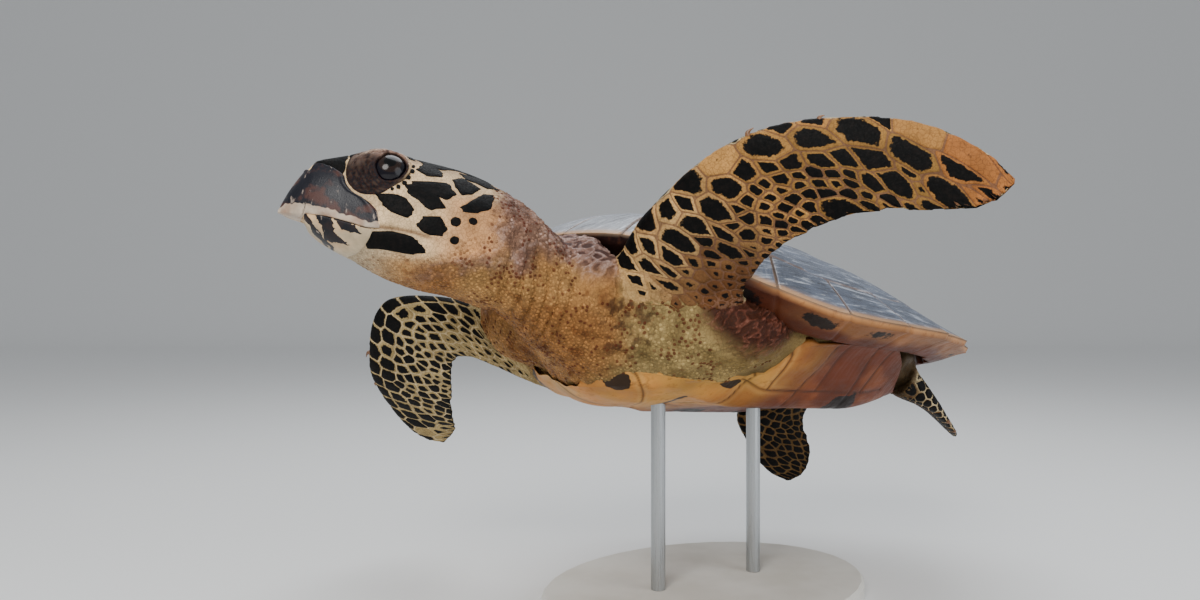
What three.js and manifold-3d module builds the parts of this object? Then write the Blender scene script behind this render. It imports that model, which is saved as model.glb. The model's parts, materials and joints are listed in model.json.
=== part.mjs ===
// A hawksbill sea turtle, life size, swimming, on a plain display stand. Millimetres, +Z up.
// The stand's base lies on Z = 0 with its centre at the origin; the turtle heads towards -Y with its left side at +X.
// The turtle is built level in a body frame (X left, Y back, Z up, origin in the middle of the shell at the
// rim's height), and one group then pitches its head up, rolls its left side up and lifts it onto the rods.
import * as THREE from "three";
import { mergeVertices } from "three/addons/utils/BufferGeometryUtils.js";
import Module from "manifold-3d";

const wasm = await Module();
wasm.setup();

// Driving dimensions.
const SHELL_LENGTH = 524; // straight length of the carapace
const SHELL_SET_BACK = 13; // how far the shell's middle lies behind the origin
const SHELL_HALF_WIDTH = 194;
const SHELL_TOP = 113; // top of the dome over the rim's level
const SHELL_WIDEST = 0.46; // share of the length, from the front, where the shell is widest
const SHELL_THICKNESS = 18; // inside the lip
const LIP = 0.81; // where the marginal scutes' underside ends, as a share of the way out to the rim
const RIM_THICKNESS = 5;
const NUCHAL_RISE = 67; // how far the rim rises from the rear to the front
const NUCHAL_ARCH = 19; // how much more it arches over the neck
const BRIDGE_SAG = 15; // and how far it sags where the plastron's bridges meet it
const PLASTRON_BOTTOM = -58;
const PLASTRON_THICKNESS = 10;
const HEAD_LENGTH = 166; // back of the skull to the tip of the beak
const EYE_RADIUS = 14.5;
const FLIPPER_THICKNESS = 17; // of a front flipper's blade near its leading edge
const GAP = 0.35; // between neighbouring solids
const SIMPLIFY = 0.15; // most that thinning a mesh may move its faces
const PITCH = THREE.MathUtils.degToRad(-4.2); // head up
const ROLL = THREE.MathUtils.degToRad(-7.7); // left side up
const LIFT = 240; // height of the middle of the shell over the floor
const SET_BACK = 55; // and how far it lies behind the middle of the base, to balance the head
const BASE_LENGTH = 340;
const BASE_WIDTH = 250;
const BASE_THICKNESS = 16;
const ROD_RADIUS = 7;
const ROD_SPACING = 115;
const MARGINALS = 12; // marginal scutes on each side

const V = (x, y, z) => new THREE.Vector3(x, y, z);
const clamp = (x, lo = 0, hi = 1) => Math.min(hi, Math.max(lo, x));
const mix = (a, b, t) => a + (b - a) * t;
const smooth = (a, b, x) => {
  const t = clamp((x - a) / (b - a));
  return t * t * (3 - 2 * t);
};
const bump = (x, centre, width) => Math.exp(-(((x - centre) / width) ** 2));

// A smooth value through [place, value] keys, by Hermite pieces with limited slopes.
function keyed(keys) {
  const slope = keys.map(([x, y], i) => {
    if (i === 0 || i === keys.length - 1) return 0;
    const before = (y - keys[i - 1][1]) / (x - keys[i - 1][0]);
    const after = (keys[i + 1][1] - y) / (keys[i + 1][0] - x);
    return before * after <= 0 ? 0 : (2 * before * after) / (before + after);
  });
  return (x) => {
    const last = keys.length - 1;
    if (x <= keys[0][0]) return keys[0][1];
    if (x >= keys[last][0]) return keys[last][1];
    const i = keys.findIndex(([k]) => k > x) - 1;
    const [x0, y0] = keys[i];
    const [x1, y1] = keys[i + 1];
    const h = x1 - x0;
    const t = (x - x0) / h;
    return (
      y0 * (2 * t ** 3 - 3 * t ** 2 + 1) +
      slope[i] * h * (t ** 3 - 2 * t ** 2 + t) +
      y1 * (3 * t ** 2 - 2 * t ** 3) +
      slope[i + 1] * h * (t ** 3 - t ** 2)
    );
  };
}

// A closed surface of rings: point(u, v) with u along it and v around it, and a pole closing each end.
function loft(along, around, point, from = 0, to = 1) {
  const places = [];
  const faces = [];
  for (let i = 0; i <= along; i++) {
    const u = mix(from, to, i / along);
    for (let j = 0; j < around; j++) places.push(point(u, j / around));
  }
  for (let i = 0; i < along; i++)
    for (let j = 0; j < around; j++) {
      const a = i * around + j;
      const b = i * around + ((j + 1) % around);
      faces.push(a, b, b + around, a, b + around, a + around);
    }
  [0, along].forEach((ring, end) => {
    const start = ring * around;
    const middle = V(0, 0, 0);
    for (let j = 0; j < around; j++) middle.add(places[start + j]);
    places.push(middle.divideScalar(around));
    for (let j = 0; j < around; j++) {
      const a = start + j;
      const b = start + ((j + 1) % around);
      if (end) faces.push(places.length - 1, a, b);
      else faces.push(places.length - 1, b, a);
    }
  });
  const geometry = new THREE.BufferGeometry().setFromPoints(places);
  geometry.setIndex(faces);
  return geometry;
}

// A three.js geometry as a manifold-3d solid, turned right side out.
function solid(geometry, matrix) {
  const g = geometry.clone();
  g.deleteAttribute("normal");
  g.deleteAttribute("uv");
  if (matrix) g.applyMatrix4(matrix);
  const merged = mergeVertices(g, 1e-4);
  const triangles = new Uint32Array(merged.index.array);
  const build = () =>
    new wasm.Manifold(
      new wasm.Mesh({
        numProp: 3,
        vertProperties: merged.attributes.position.array,
        triVerts: triangles,
      }),
    );
  const made = build();
  if (made.volume() > 0) return made;
  for (let i = 0; i < triangles.length; i += 3)
    [triangles[i + 1], triangles[i + 2]] = [triangles[i + 2], triangles[i + 1]];
  return build();
}

// The same solid with every face moved out by a distance. Each corner moves the way that lies nearest to all
// of its faces' normals.
function grown(s, distance = GAP) {
  const { vertProperties, triVerts, numProp } = s.getMesh();
  const at = (i) => V(...vertProperties.subarray(i * numProp, i * numProp + 3));
  const normals = Array.from({ length: vertProperties.length / numProp }, () => []);
  for (let i = 0; i < triVerts.length; i += 3) {
    const [a, b, c] = triVerts.subarray(i, i + 3);
    const cross = at(b).sub(at(a)).cross(at(c).sub(at(a)));
    if (cross.length() > 1e-6) [a, b, c].forEach((k) => normals[k].push(cross.normalize()));
  }
  const places = new Float32Array(normals.length * 3);
  normals.forEach((faces, k) => {
    const way = faces.reduce((sum, n) => sum.add(n), V(0, 0, 0)).normalize();
    const farthest = () => faces.reduce((a, b) => (way.dot(a) < way.dot(b) ? a : b));
    for (let turn = 0; turn < 12; turn++) way.addScaledVector(farthest(), 0.2).normalize();
    places.set(at(k).addScaledVector(way, distance / Math.max(way.dot(farthest()), 0.3)).toArray(), k * 3);
  });
  return new wasm.Manifold(new wasm.Mesh({ numProp: 3, vertProperties: places, triVerts }));
}

// The largest body of a solid: a cut can leave a sliver behind.
function largest(s) {
  return s.decompose().reduce((a, b) => (a.volume() > b.volume() ? a : b));
}

const less = (s, ...others) => others.reduce((a, b) => a.subtract(b), s);

function mesh(name, s, colour, roughness) {
  const { vertProperties, triVerts, numProp } = largest(s).simplify(SIMPLIFY).getMesh();
  const places = new Float32Array((vertProperties.length / numProp) * 3);
  for (let i = 0; i < places.length / 3; i++)
    places.set(vertProperties.subarray(i * numProp, i * numProp + 3), i * 3);
  const geometry = new THREE.BufferGeometry();
  geometry.setAttribute("position", new THREE.BufferAttribute(places, 3));
  geometry.setIndex(new THREE.BufferAttribute(new Uint32Array(triVerts), 1));
  geometry.computeVertexNormals();
  const made = new THREE.Mesh(
    geometry,
    new THREE.MeshStandardMaterial({ color: colour, roughness, metalness: 0 }),
  );
  made.name = name;
  return made;
}

// ---- Shell ----

// Half the shell's width at t, the share of its length from the front.
function halfWidth(t) {
  const front = 1 - ((SHELL_WIDEST - Math.min(t, SHELL_WIDEST)) / SHELL_WIDEST) ** 2.5;
  const rear = 1 - ((Math.max(t, SHELL_WIDEST) - SHELL_WIDEST) / (1 - SHELL_WIDEST)) ** 1.85;
  return SHELL_HALF_WIDTH * clamp(front) ** 0.6 * clamp(rear) ** 0.84;
}

function rimHeight(t) {
  const arch = NUCHAL_ARCH * smooth(0.24, 0.04, t) + 8 * smooth(0.8, 1, t);
  return NUCHAL_RISE * (1 - t) ** 2.2 + arch - BRIDGE_SAG * smooth(0.13, 0.36, t) * smooth(0.8, 0.34, t);
}

// Two places of the rim for each marginal scute, once round from the front by the left side: the valley behind
// the scute before it, and its own point. The points are longer towards the rear.
const RIM_PLACES = MARGINALS * 4;
const RIM = Array.from({ length: RIM_PLACES }, (_, i) => {
  const onLeft = i < RIM_PLACES / 2;
  const place = onLeft ? i : RIM_PLACES - 1 - i;
  const isPoint = place % 2 === 1;
  const turn = (Math.floor(place / 2) + (isPoint ? 0.9 : 0.12)) / MARGINALS;
  const t = (1 - Math.cos(Math.PI * turn)) / 2;
  const out = V((onLeft ? 1 : -1) * halfWidth(t), SHELL_LENGTH * (t - 0.5), 0);
  const reach = smooth(0.35, 1, t) * (isPoint ? 6 : -2.5);
  return out.addScaledVector(out.clone().normalize(), reach).add(V(0, SHELL_SET_BACK, rimHeight(t)));
});

// The dome over the rim, with a low keel on the mid-line that is clearest towards the rear.
function carapaceTop(rho, edge) {
  const x = edge.x * rho;
  const y = edge.y * rho;
  const fullness = mix(3.15, 1.5, smooth(-240, 50, y)) - 0.75 * smooth(60, 220, y);
  const dome = SHELL_TOP * (1 - rho ** fullness);
  const keel = 5 * bump(x, 0, 14) * smooth(-200, 60, y) * smooth(1, 0.8, rho);
  return V(x, y, edge.z * rho ** 2 + dome + keel);
}

// Under the rim the marginal scutes slope down and in to a lip; inside it the shell is one thickness.
function carapaceUnder(rho, edge) {
  if (rho < LIP) return carapaceTop(rho, edge).sub(V(0, 0, SHELL_THICKNESS));
  return V(edge.x * rho, edge.y * rho, edge.z * rho ** 2 - RIM_THICKNESS - 9 * smooth(1, LIP, rho));
}

// Rings from the middle of the top, over the rim, to the middle of the underside.
function carapaceSolid() {
  const topRings = [0.02, 0.22, 0.42, 0.6, 0.76, 0.88, 0.96, 1];
  const underRings = [1, 0.91, LIP, LIP - 0.06, 0.45, 0.02];
  const rings = topRings.length + underRings.length - 1;
  return solid(
    loft(rings, RIM_PLACES, (u, v) => {
      const ring = Math.round(u * rings);
      const edge = RIM[Math.round(v * RIM_PLACES)];
      const isTop = ring < topRings.length;
      return isTop ? carapaceTop(topRings[ring], edge) : carapaceUnder(underRings[ring - topRings.length], edge);
    }),
  );
}

const plastronHalfWidth = keyed([
  [0, 44],
  [0.04, 72],
  [0.1, 87],
  [0.2, 95],
  [0.3, 104],
  [0.4, 150],
  [0.6, 156],
  [0.7, 132],
  [0.79, 86],
  [0.93, 56],
  [1, 20],
]);
const PLASTRON_FRONT = -222;
const PLASTRON_REAR = 192;

// The underside: flat in the middle, a blunt ridge on each side, and the bridges rising to the carapace.
function plastronUnder(s, across) {
  const x = plastronHalfWidth(s) * across;
  const side = Math.abs(x);
  const ends = 28 * smooth(0.34, 0, s) + 36 * smooth(0.62, 1, s);
  const bridge = 50 * smooth(78, 162, side);
  const ridge = 2.5 * bump(side, 78, 18);
  return V(x, mix(PLASTRON_FRONT, PLASTRON_REAR, s), PLASTRON_BOTTOM + ends + bridge - ridge);
}

function plastronSolid(drop = 0) {
  const across = 9;
  return solid(
    loft(20, across * 2 + 2, (s, v) => {
      const j = Math.round(v * (across * 2 + 2));
      const under = j <= across;
      const a = under ? (2 * j) / across - 1 : 1 - (2 * (j - across - 1)) / across;
      return plastronUnder(s, a).add(V(0, 0, under ? -drop : PLASTRON_THICKNESS));
    }),
  );
}

// ---- Trunk, neck and tail ----

const TRUNK_FRONT = -224;
const TRUNK_REAR = 186;
const trunkHalfWidth = keyed([
  [0, 76],
  [0.05, 108],
  [0.12, 132],
  [0.22, 144],
  [0.5, 152],
  [0.75, 122],
  [0.93, 70],
  [1, 30],
]);
const trunkTop = keyed([
  [0, 40],
  [0.06, 58],
  [0.18, 68],
  [0.5, 82],
  [0.8, 52],
  [1, 6],
]);
const trunkUnder = keyed([
  [0, -22],
  [0.06, -42],
  [0.15, -50],
  [0.8, -50],
  [1, -26],
]);

function trunkPoint(u, v) {
  const turn = v * 2 * Math.PI;
  const middle = (trunkTop(u) + trunkUnder(u)) / 2;
  const half = (trunkTop(u) - trunkUnder(u)) / 2;
  const square = 0.8;
  const x = trunkHalfWidth(u) * Math.sign(Math.sin(turn)) * Math.abs(Math.sin(turn)) ** square;
  const z = middle + half * Math.sign(Math.cos(turn)) * Math.abs(Math.cos(turn)) ** square;
  return V(x, mix(TRUNK_FRONT, TRUNK_REAR, u), z);
}

// The head's frame: at the back of the skull, turned a little to the turtle's right and up.
const HEAD_AT = V(44, -302, 62);
const headFrame = new THREE.Matrix4()
  .makeRotationFromEuler(
    new THREE.Euler(THREE.MathUtils.degToRad(-7.5), THREE.MathUtils.degToRad(4), THREE.MathUtils.degToRad(-12.5), "ZXY"),
  )
  .setPosition(HEAD_AT);
const headAxis = V(0, -1, 0).transformDirection(headFrame);

// Head sections, by the share of the head's length from the back: top, underside and half width.
const headTop = keyed([
  [0, 50],
  [0.1, 56],
  [0.2, 59],
  [0.35, 61],
  [0.5, 61],
  [0.62, 58.5],
  [0.73, 53.5],
  [0.81, 49.5],
  [0.87, 45.5],
  [0.9, 39.5],
  [0.935, 29.5],
  [0.967, 18],
  [0.988, 8],
  [1, 2],
]);
const headUnder = keyed([
  [0, -46],
  [0.15, -42],
  [0.3, -41],
  [0.46, -37.5],
  [0.55, -32.5],
  [0.65, -26],
  [0.78, -18.5],
  [0.85, -11.5],
  [0.885, -4.5],
  [0.95, -3],
  [1, -1],
]);
const headHalfWidth = keyed([
  [0, 52],
  [0.15, 53],
  [0.3, 50.5],
  [0.45, 46.5],
  [0.6, 38],
  [0.72, 30],
  [0.82, 23.5],
  [0.9, 16.5],
  [0.96, 9.5],
  [1, 2.5],
]);
const EYE_AT = V(24.5, -0.545 * HEAD_LENGTH, 41); // the left eye's middle
const BROW_AT = V(30, -0.61 * HEAD_LENGTH, 50);

// A point of the head's surface: squarish above, narrower at the crown, with the brow bulging over each eye.
function headPoint(u, v, swell = 0) {
  const turn = v * 2 * Math.PI;
  const up = Math.cos(turn);
  const out = Math.sin(turn);
  const height = up > 0 ? headTop(u) : -headUnder(u);
  const square = up > 0 ? mix(0.95, 0.82, smooth(0.1, 0.5, u)) : 0.95;
  const z = (height + swell) * Math.sign(up) * Math.abs(up) ** square;
  const narrow = 1 - 0.12 * smooth(20, 60, z) * smooth(0.95, 0.5, u);
  const x = (headHalfWidth(u) * narrow + swell) * Math.sign(out) * Math.abs(out) ** 0.92;
  const place = V(x, -u * HEAD_LENGTH - (u > 0.5 ? swell : -swell), z);
  const brow = bump(V(Math.abs(x), place.y, z).distanceTo(BROW_AT), 0, 20);
  return place.add(V(Math.sign(x) * 4.5 * brow, 0, 11 * brow));
}

const headSolid = (swell) => solid(loft(18, 24, (u, v) => headPoint(u, v, swell)), headFrame);

// The neck rises from between the shoulders. Its rings turn from the body's frame into the head's.
const neckCurve = new THREE.CubicBezierCurve3(
  V(0, -120, -14),
  V(14, -225, -30),
  HEAD_AT.clone().addScaledVector(headAxis, -60),
  HEAD_AT.clone().addScaledVector(headAxis, -GAP),
);
const neckHalfWidth = keyed([
  [0, 92],
  [0.35, 78],
  [0.7, 60],
  [1, 51.8],
]);
const neckUp = keyed([
  [0, 44],
  [0.4, 44],
  [0.75, 42],
  [1, 49.8],
]);
const neckDown = keyed([
  [0, 38],
  [0.4, 48],
  [0.75, 52],
  [1, 45.8],
]);

function neckPoint(u, v) {
  const turn = v * 2 * Math.PI;
  const left = V(1, 0, 0).lerp(V(1, 0, 0).transformDirection(headFrame), u).normalize();
  const up = V(0, 0, 1).lerp(V(0, 0, 1).transformDirection(headFrame), u).normalize();
  const high = Math.cos(turn) > 0 ? neckUp(u) : neckDown(u);
  return neckCurve
    .getPoint(u)
    .addScaledVector(left, neckHalfWidth(u) * Math.sign(Math.sin(turn)) * Math.abs(Math.sin(turn)) ** 0.93)
    .addScaledVector(up, high * Math.sign(Math.cos(turn)) * Math.abs(Math.cos(turn)) ** 0.93);
}

// A swelling of loose skin on one side of the body.
const swelling = (side, at, radii) =>
  solid(
    new THREE.SphereGeometry(1, 10, 6),
    new THREE.Matrix4()
      .makeTranslation(side * at.x, at.y, at.z)
      .multiply(new THREE.Matrix4().makeScale(radii.x, radii.y, radii.z)),
  );
// At the base of the raised neck it swells up in front of the shell's rim, and behind each arm it fills the armpit.
const collar = (side) => swelling(side, V(52, -232, 34), V(56, 31, 49));
const armpit = (side) => swelling(side, V(130, -116, 0), V(31, 37, 27));

// The tail: a short blunt cone that just passes the shell.
const tailCurve = new THREE.QuadraticBezierCurve3(V(0, 150, -16), V(0, 200, -22), V(2, 244, -26));
function tailPoint(u, v) {
  const radius = mix(24, 2.5, u ** 0.8);
  const turn = v * 2 * Math.PI;
  return tailCurve.getPoint(u).add(V(radius * Math.sin(turn), 0, radius * 0.8 * Math.cos(turn)));
}

// ---- Flippers ----

// A flipper follows its middle line through places from the joint to the tip; lead is the way to its leading
// edge at each of them. Half its width and its thickness go by the share of the length.
function flipper({ places, leads, half, thick }) {
  const middle = new THREE.CatmullRomCurve3(places, false, "centripetal");
  const leadCurve = new THREE.CatmullRomCurve3(leads, false, "centripetal");
  return (u, v) => {
    const along = middle.getTangent(u);
    const lead = leadCurve.getPoint(u).normalize();
    const normal = along.clone().cross(lead).normalize();
    const turn = v * 2 * Math.PI;
    const across = Math.cos(turn);
    const fullness = mix(0.34, 1, ((1 + across) / 2) ** 0.75);
    const height = (thick(u) / 2) * fullness;
    return middle
      .getPoint(u)
      .addScaledVector(lead, half(u) * across)
      .addScaledVector(normal, height * Math.sign(Math.sin(turn)) * Math.abs(Math.sin(turn)) ** 0.8);
  };
}

// Both front flippers have the same width and thickness. Places: shoulder, elbow, wrist, palm, fingers, tip.
const foreHalf = keyed([
  [0, 54],
  [0.2, 52],
  [0.38, 46],
  [0.5, 46.5],
  [0.6, 46],
  [0.7, 41.5],
  [0.8, 36],
  [0.9, 26],
  [0.96, 15],
  [1, 3],
]);
const foreThick = keyed([
  [0, 62],
  [0.22, 44],
  [0.4, 25],
  [0.55, FLIPPER_THICKNESS],
  [0.8, 11],
  [0.97, 7],
  [1, 4],
]);
const foreLeft = flipper({
  places: [V(84, -156, -16), V(124, -173, 40), V(186, -169, 80), V(247, -143, 100), V(298, -93, 98), V(345, -60, 79)],
  leads: [V(-0.4, -0.8, 0.45), V(-0.35, -0.78, 0.52), V(-0.28, -0.77, 0.57), V(-0.35, -0.6, 0.7), V(-0.18, -0.3, 0.94), V(0, -0.1, 1)],
  half: foreHalf,
  thick: foreThick,
});
const foreRight = flipper({
  places: [V(-80, -172, -14), V(-110, -230, 8), V(-146, -296, 20), V(-196, -290, -26), V(-240, -262, -62), V(-276, -224, -92)],
  leads: [V(0.2, -0.8, 0.5), V(-0.2, -0.6, 0.78), V(-0.26, -0.75, 0.6), V(-0.3, -0.9, 0.3), V(-0.3, -0.93, 0.22), V(-0.5, -0.8, -0.3)],
  half: foreHalf,
  thick: foreThick,
});

// Both hind flippers. Places: hip, knee, palm, tip.
const hindHalf = keyed([
  [0, 34],
  [0.33, 42],
  [0.66, 39],
  [0.85, 28],
  [0.95, 15],
  [1, 3],
]);
const hindThick = keyed([
  [0, 42],
  [0.35, 24],
  [0.6, 13],
  [0.9, 7],
  [1, 4],
]);
const hindLeft = flipper({
  places: [V(74, 128, -31), V(67, 164, -46), V(56, 205, -67), V(42, 246, -87)],
  leads: [V(0.85, -0.5, -0.1), V(0.82, -0.5, -0.2), V(0.82, -0.5, -0.25), V(0.82, -0.5, -0.25)],
  half: hindHalf,
  thick: hindThick,
});
const hindRight = flipper({
  places: [V(-78, 132, -26), V(-98, 108, -62), V(-110, 132, -102), V(-124, 154, -140)],
  leads: [V(-0.85, -0.5, -0.1), V(-0.3, -0.95, 0), V(-0.28, -0.95, 0), V(-0.5, -0.85, 0)],
  half: hindHalf,
  thick: hindThick,
});

const AROUND_FORE = 14;
const AROUND_HIND = 12;
const WRIST = 0.4; // where a front flipper's arm ends and its blade starts
const flipperSolid = (point, rows, around, from, to) => solid(loft(rows, around, point, from, to));

// A claw on the leading edge at u: a short curved cone.
function clawSolid(point, u, length, radius) {
  const root = point(u, 0);
  const along = point(u + 0.02, 0).sub(point(u - 0.02, 0)).normalize();
  const out = root.clone().sub(point(u, 0.5)).normalize();
  const start = root.clone().addScaledVector(out, -2.5);
  const curve = new THREE.QuadraticBezierCurve3(
    start,
    start.clone().addScaledVector(out, length * 0.55),
    start.clone().addScaledVector(out, length * 0.6).addScaledVector(along, length * 0.9),
  );
  const across = out.clone().cross(along).normalize();
  return solid(
    loft(2, 5, (w, v) => {
      const ahead = curve.getTangent(w);
      const side = ahead.clone().cross(across).normalize();
      const r = radius * mix(1, 0.12, w ** 1.2);
      return curve
        .getPoint(w)
        .addScaledVector(across, r * Math.sin(v * 2 * Math.PI))
        .addScaledVector(side, r * Math.cos(v * 2 * Math.PI));
    }),
  );
}

// ---- Cutters for the head ----

// A slab through the whole width of the head, with this outline in the head's side view (forwards, up).
function headSlab(outline) {
  const shape = new THREE.Shape(outline.map(([ahead, up]) => new THREE.Vector2(ahead, up)));
  const slab = new THREE.ExtrudeGeometry(shape, { depth: 160, bevelEnabled: false });
  // Shape X runs forwards (-Y), shape Y runs up (Z), and the depth runs across (X).
  const turn = new THREE.Matrix4().makeBasis(V(0, -1, 0), V(0, 0, 1), V(-1, 0, 0)).setPosition(80, 0, 0);
  return solid(slab, headFrame.clone().multiply(turn));
}

const L = HEAD_LENGTH;
// The lower jaw: everything under the mouth's line, from the hinge to behind the beak's hook.
const underJaw = (drop) => [
  [0.33 * L, -80],
  [0.34 * L, -22],
  [0.37 * L, -9 + drop],
  [0.41 * L, -3.5 + drop],
  [0.6 * L, -4 + drop],
  [0.75 * L, -0.5 + drop],
  [0.88 * L, 0.5 + drop],
  [0.888 * L, -4],
  [0.9 * L, -80],
];
// The upper beak's horny sheath, from below the eye up and over to the nostrils.
const sheath = (inset) => [
  [0.552 * L + inset, -90],
  [0.552 * L + inset, -1],
  [0.566 * L + inset, 8 - inset],
  [0.61 * L + inset * 0.5, 15.5 - inset],
  [0.685 * L + inset * 0.5, 21 - inset],
  [0.722 * L + inset, 27 - inset * 0.5],
  [0.744 * L + inset, 34 - inset * 0.5],
  [0.785 * L, 38.5 - inset],
  [0.84 * L, 40.5 - inset],
  [0.92 * L, 39.5 - inset],
  [1.1 * L, 39.5 - inset],
  [1.1 * L, -90],
];

// ---- The solids ----

const shell = carapaceSolid();
const shellGrown = grown(shell);
const plastronWhole = less(plastronSolid(), shellGrown);
// The cutter for the flesh reaches well under the plastron, so that nothing bulges out below it.
const plastronGrown = grown(plastronSolid(60));
const eyeBall = (side, radius) =>
  solid(
    new THREE.SphereGeometry(radius, 14, 7),
    headFrame.clone().multiply(new THREE.Matrix4().makeTranslation(side * EYE_AT.x, EYE_AT.y, EYE_AT.z)),
  );

const headWhole = headSolid(0);
const jawCut = headSlab(underJaw(0));
const sheathCut = headSlab(sheath(0));
const jaw = headWhole.intersect(jawCut);
const jawRoom = headSlab(underJaw(GAP * 1.4)).intersect(headSolid(4));
const upper = less(headWhole, jawRoom);
const beak = upper.intersect(headSlab(sheath(GAP)));
const cranium = less(upper, sheathCut, eyeBall(1, EYE_RADIUS + GAP), eyeBall(-1, EYE_RADIUS + GAP));

const trunkWhole = solid(loft(9, 16, trunkPoint)).add(armpit(1)).add(armpit(-1));
const trunkGrown = grown(trunkWhole);
const trunk = less(trunkWhole, shellGrown, plastronGrown);
const neckWhole = solid(loft(10, 20, neckPoint)).add(collar(1)).add(collar(-1));
const neckGrown = grown(neckWhole);
const neck = less(neckWhole, trunkGrown, shellGrown, plastronGrown);
const inBody = [trunkGrown, neckGrown, shellGrown, plastronGrown];

const SKIN = 0xc9a06a;
const SCALE = 0x2b1d16;
const HORN = 0x3a3338;
const CARAPACE = 0x2f2c2e;
const PLASTRON = 0xc98f4e;
const CLAW = 0xd8c49a;

const turtle = new THREE.Group();
turtle.name = "turtle";
turtle.add(
  mesh("carapace", shell, CARAPACE, 0.35),
  mesh("plastron", plastronWhole, PLASTRON, 0.5),
  mesh("trunk", trunk, SKIN, 0.6),
  mesh("neck", neck, SKIN, 0.6),
  mesh("head", cranium, SKIN, 0.5),
  mesh("beak_upper", beak, HORN, 0.35),
  mesh("jaw_lower", jaw, PLASTRON, 0.45),
  mesh("tail", less(solid(loft(6, 12, tailPoint)), trunkGrown, shellGrown, plastronGrown), SKIN, 0.6),
);
[
  ["left", 1],
  ["right", -1],
].forEach(([side, sign]) => turtle.add(mesh("eye_" + side, eyeBall(sign, EYE_RADIUS), 0x0c0a0a, 0.05)));

[
  ["left", foreLeft, hindLeft],
  ["right", foreRight, hindRight],
].forEach(([side, fore, hind]) => {
  const foreClaws = [0.56, 0.68].map((u, i) => clawSolid(fore, u, 11 - 3 * i, 3 - 0.5 * i));
  const hindClaws = [0.6, 0.76].map((u, i) => clawSolid(hind, u, 9 - 2 * i, 2.6 - 0.4 * i));
  const arm = flipperSolid(fore, 8, AROUND_FORE, 0, WRIST - 0.0006);
  const blade = flipperSolid(fore, 13, AROUND_FORE, WRIST + 0.0006, 1);
  const leg = flipperSolid(hind, 10, AROUND_HIND, 0, 1);
  const bladeGrown = grown(blade);
  const legGrown = grown(leg);
  turtle.add(
    mesh("flipper_fore_" + side + "_arm", less(arm, ...inBody), SKIN, 0.55),
    mesh("flipper_fore_" + side + "_blade", blade, SCALE, 0.5),
    mesh("flipper_hind_" + side, less(leg, trunkGrown, shellGrown, plastronGrown), SCALE, 0.55),
  );
  foreClaws.forEach((claw, i) =>
    turtle.add(mesh("claw_fore_" + side + "_" + (i + 1), less(claw, bladeGrown), CLAW, 0.4)),
  );
  hindClaws.forEach((claw, i) =>
    turtle.add(mesh("claw_hind_" + side + "_" + (i + 1), less(claw, legGrown), CLAW, 0.4)),
  );
});
turtle.rotation.set(PITCH, ROLL, 0, "XYZ");
turtle.position.set(0, SET_BACK, LIFT);
turtle.updateMatrixWorld(true);

// ---- Stand: a flat oval base and two rods up to the plastron ----

function standBase() {
  const outline = new THREE.Shape().absellipse(0, 0, BASE_WIDTH / 2, BASE_LENGTH / 2, 0, 2 * Math.PI);
  const bevel = 3;
  const plate = new THREE.ExtrudeGeometry(outline, {
    depth: BASE_THICKNESS - bevel,
    bevelEnabled: true,
    bevelThickness: bevel,
    bevelSize: bevel,
    bevelOffset: -bevel,
    bevelSegments: 1,
    curveSegments: 18,
  });
  const floor = solid(
    new THREE.BoxGeometry(BASE_WIDTH * 2, BASE_LENGTH * 2, 40),
    new THREE.Matrix4().makeTranslation(0, 0, -20),
  );
  return solid(plate).subtract(floor);
}

const plastronInWorld = solid(geometryOf(grown(plastronWhole)), turtle.matrixWorld);
function geometryOf(s) {
  const { vertProperties, triVerts } = s.getMesh();
  const g = new THREE.BufferGeometry();
  g.setAttribute("position", new THREE.BufferAttribute(new Float32Array(vertProperties), 3));
  g.setIndex(new THREE.BufferAttribute(new Uint32Array(triVerts), 1));
  return g;
}

const stand = new THREE.Group();
stand.name = "stand";
stand.add(mesh("stand_base", standBase(), 0xd8d6d0, 0.4));
[
  ["front", -1],
  ["rear", 1],
].forEach(([name, sign]) => {
  const height = LIFT - BASE_THICKNESS - GAP - 40;
  const rod = solid(
    new THREE.CylinderGeometry(ROD_RADIUS, ROD_RADIUS, height, 16).rotateX(Math.PI / 2),
    new THREE.Matrix4().makeTranslation(0, (sign * ROD_SPACING) / 2, BASE_THICKNESS + GAP + height / 2),
  );
  stand.add(mesh("stand_rod_" + name, less(rod, plastronInWorld), 0xb8bcc0, 0.3));
});

const part = new THREE.Group();
part.add(turtle, stand);
export default part;
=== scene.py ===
"""A hawksbill sea turtle on its display stand, finished over the CAD frame. Metres, +Z up.

Shapes are worked out in millimetres in the turtle's body frame (X left, Y back, Z up, origin in the middle of
the shell at the rim's height) or in the head's frame, and put into the part's frame by placed().
"""

import json
import math

import bmesh
import bpy
import numpy as np
import openvdb
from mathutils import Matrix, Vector
from mathutils.bvhtree import BVHTree
from mathutils.kdtree import KDTree

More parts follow.
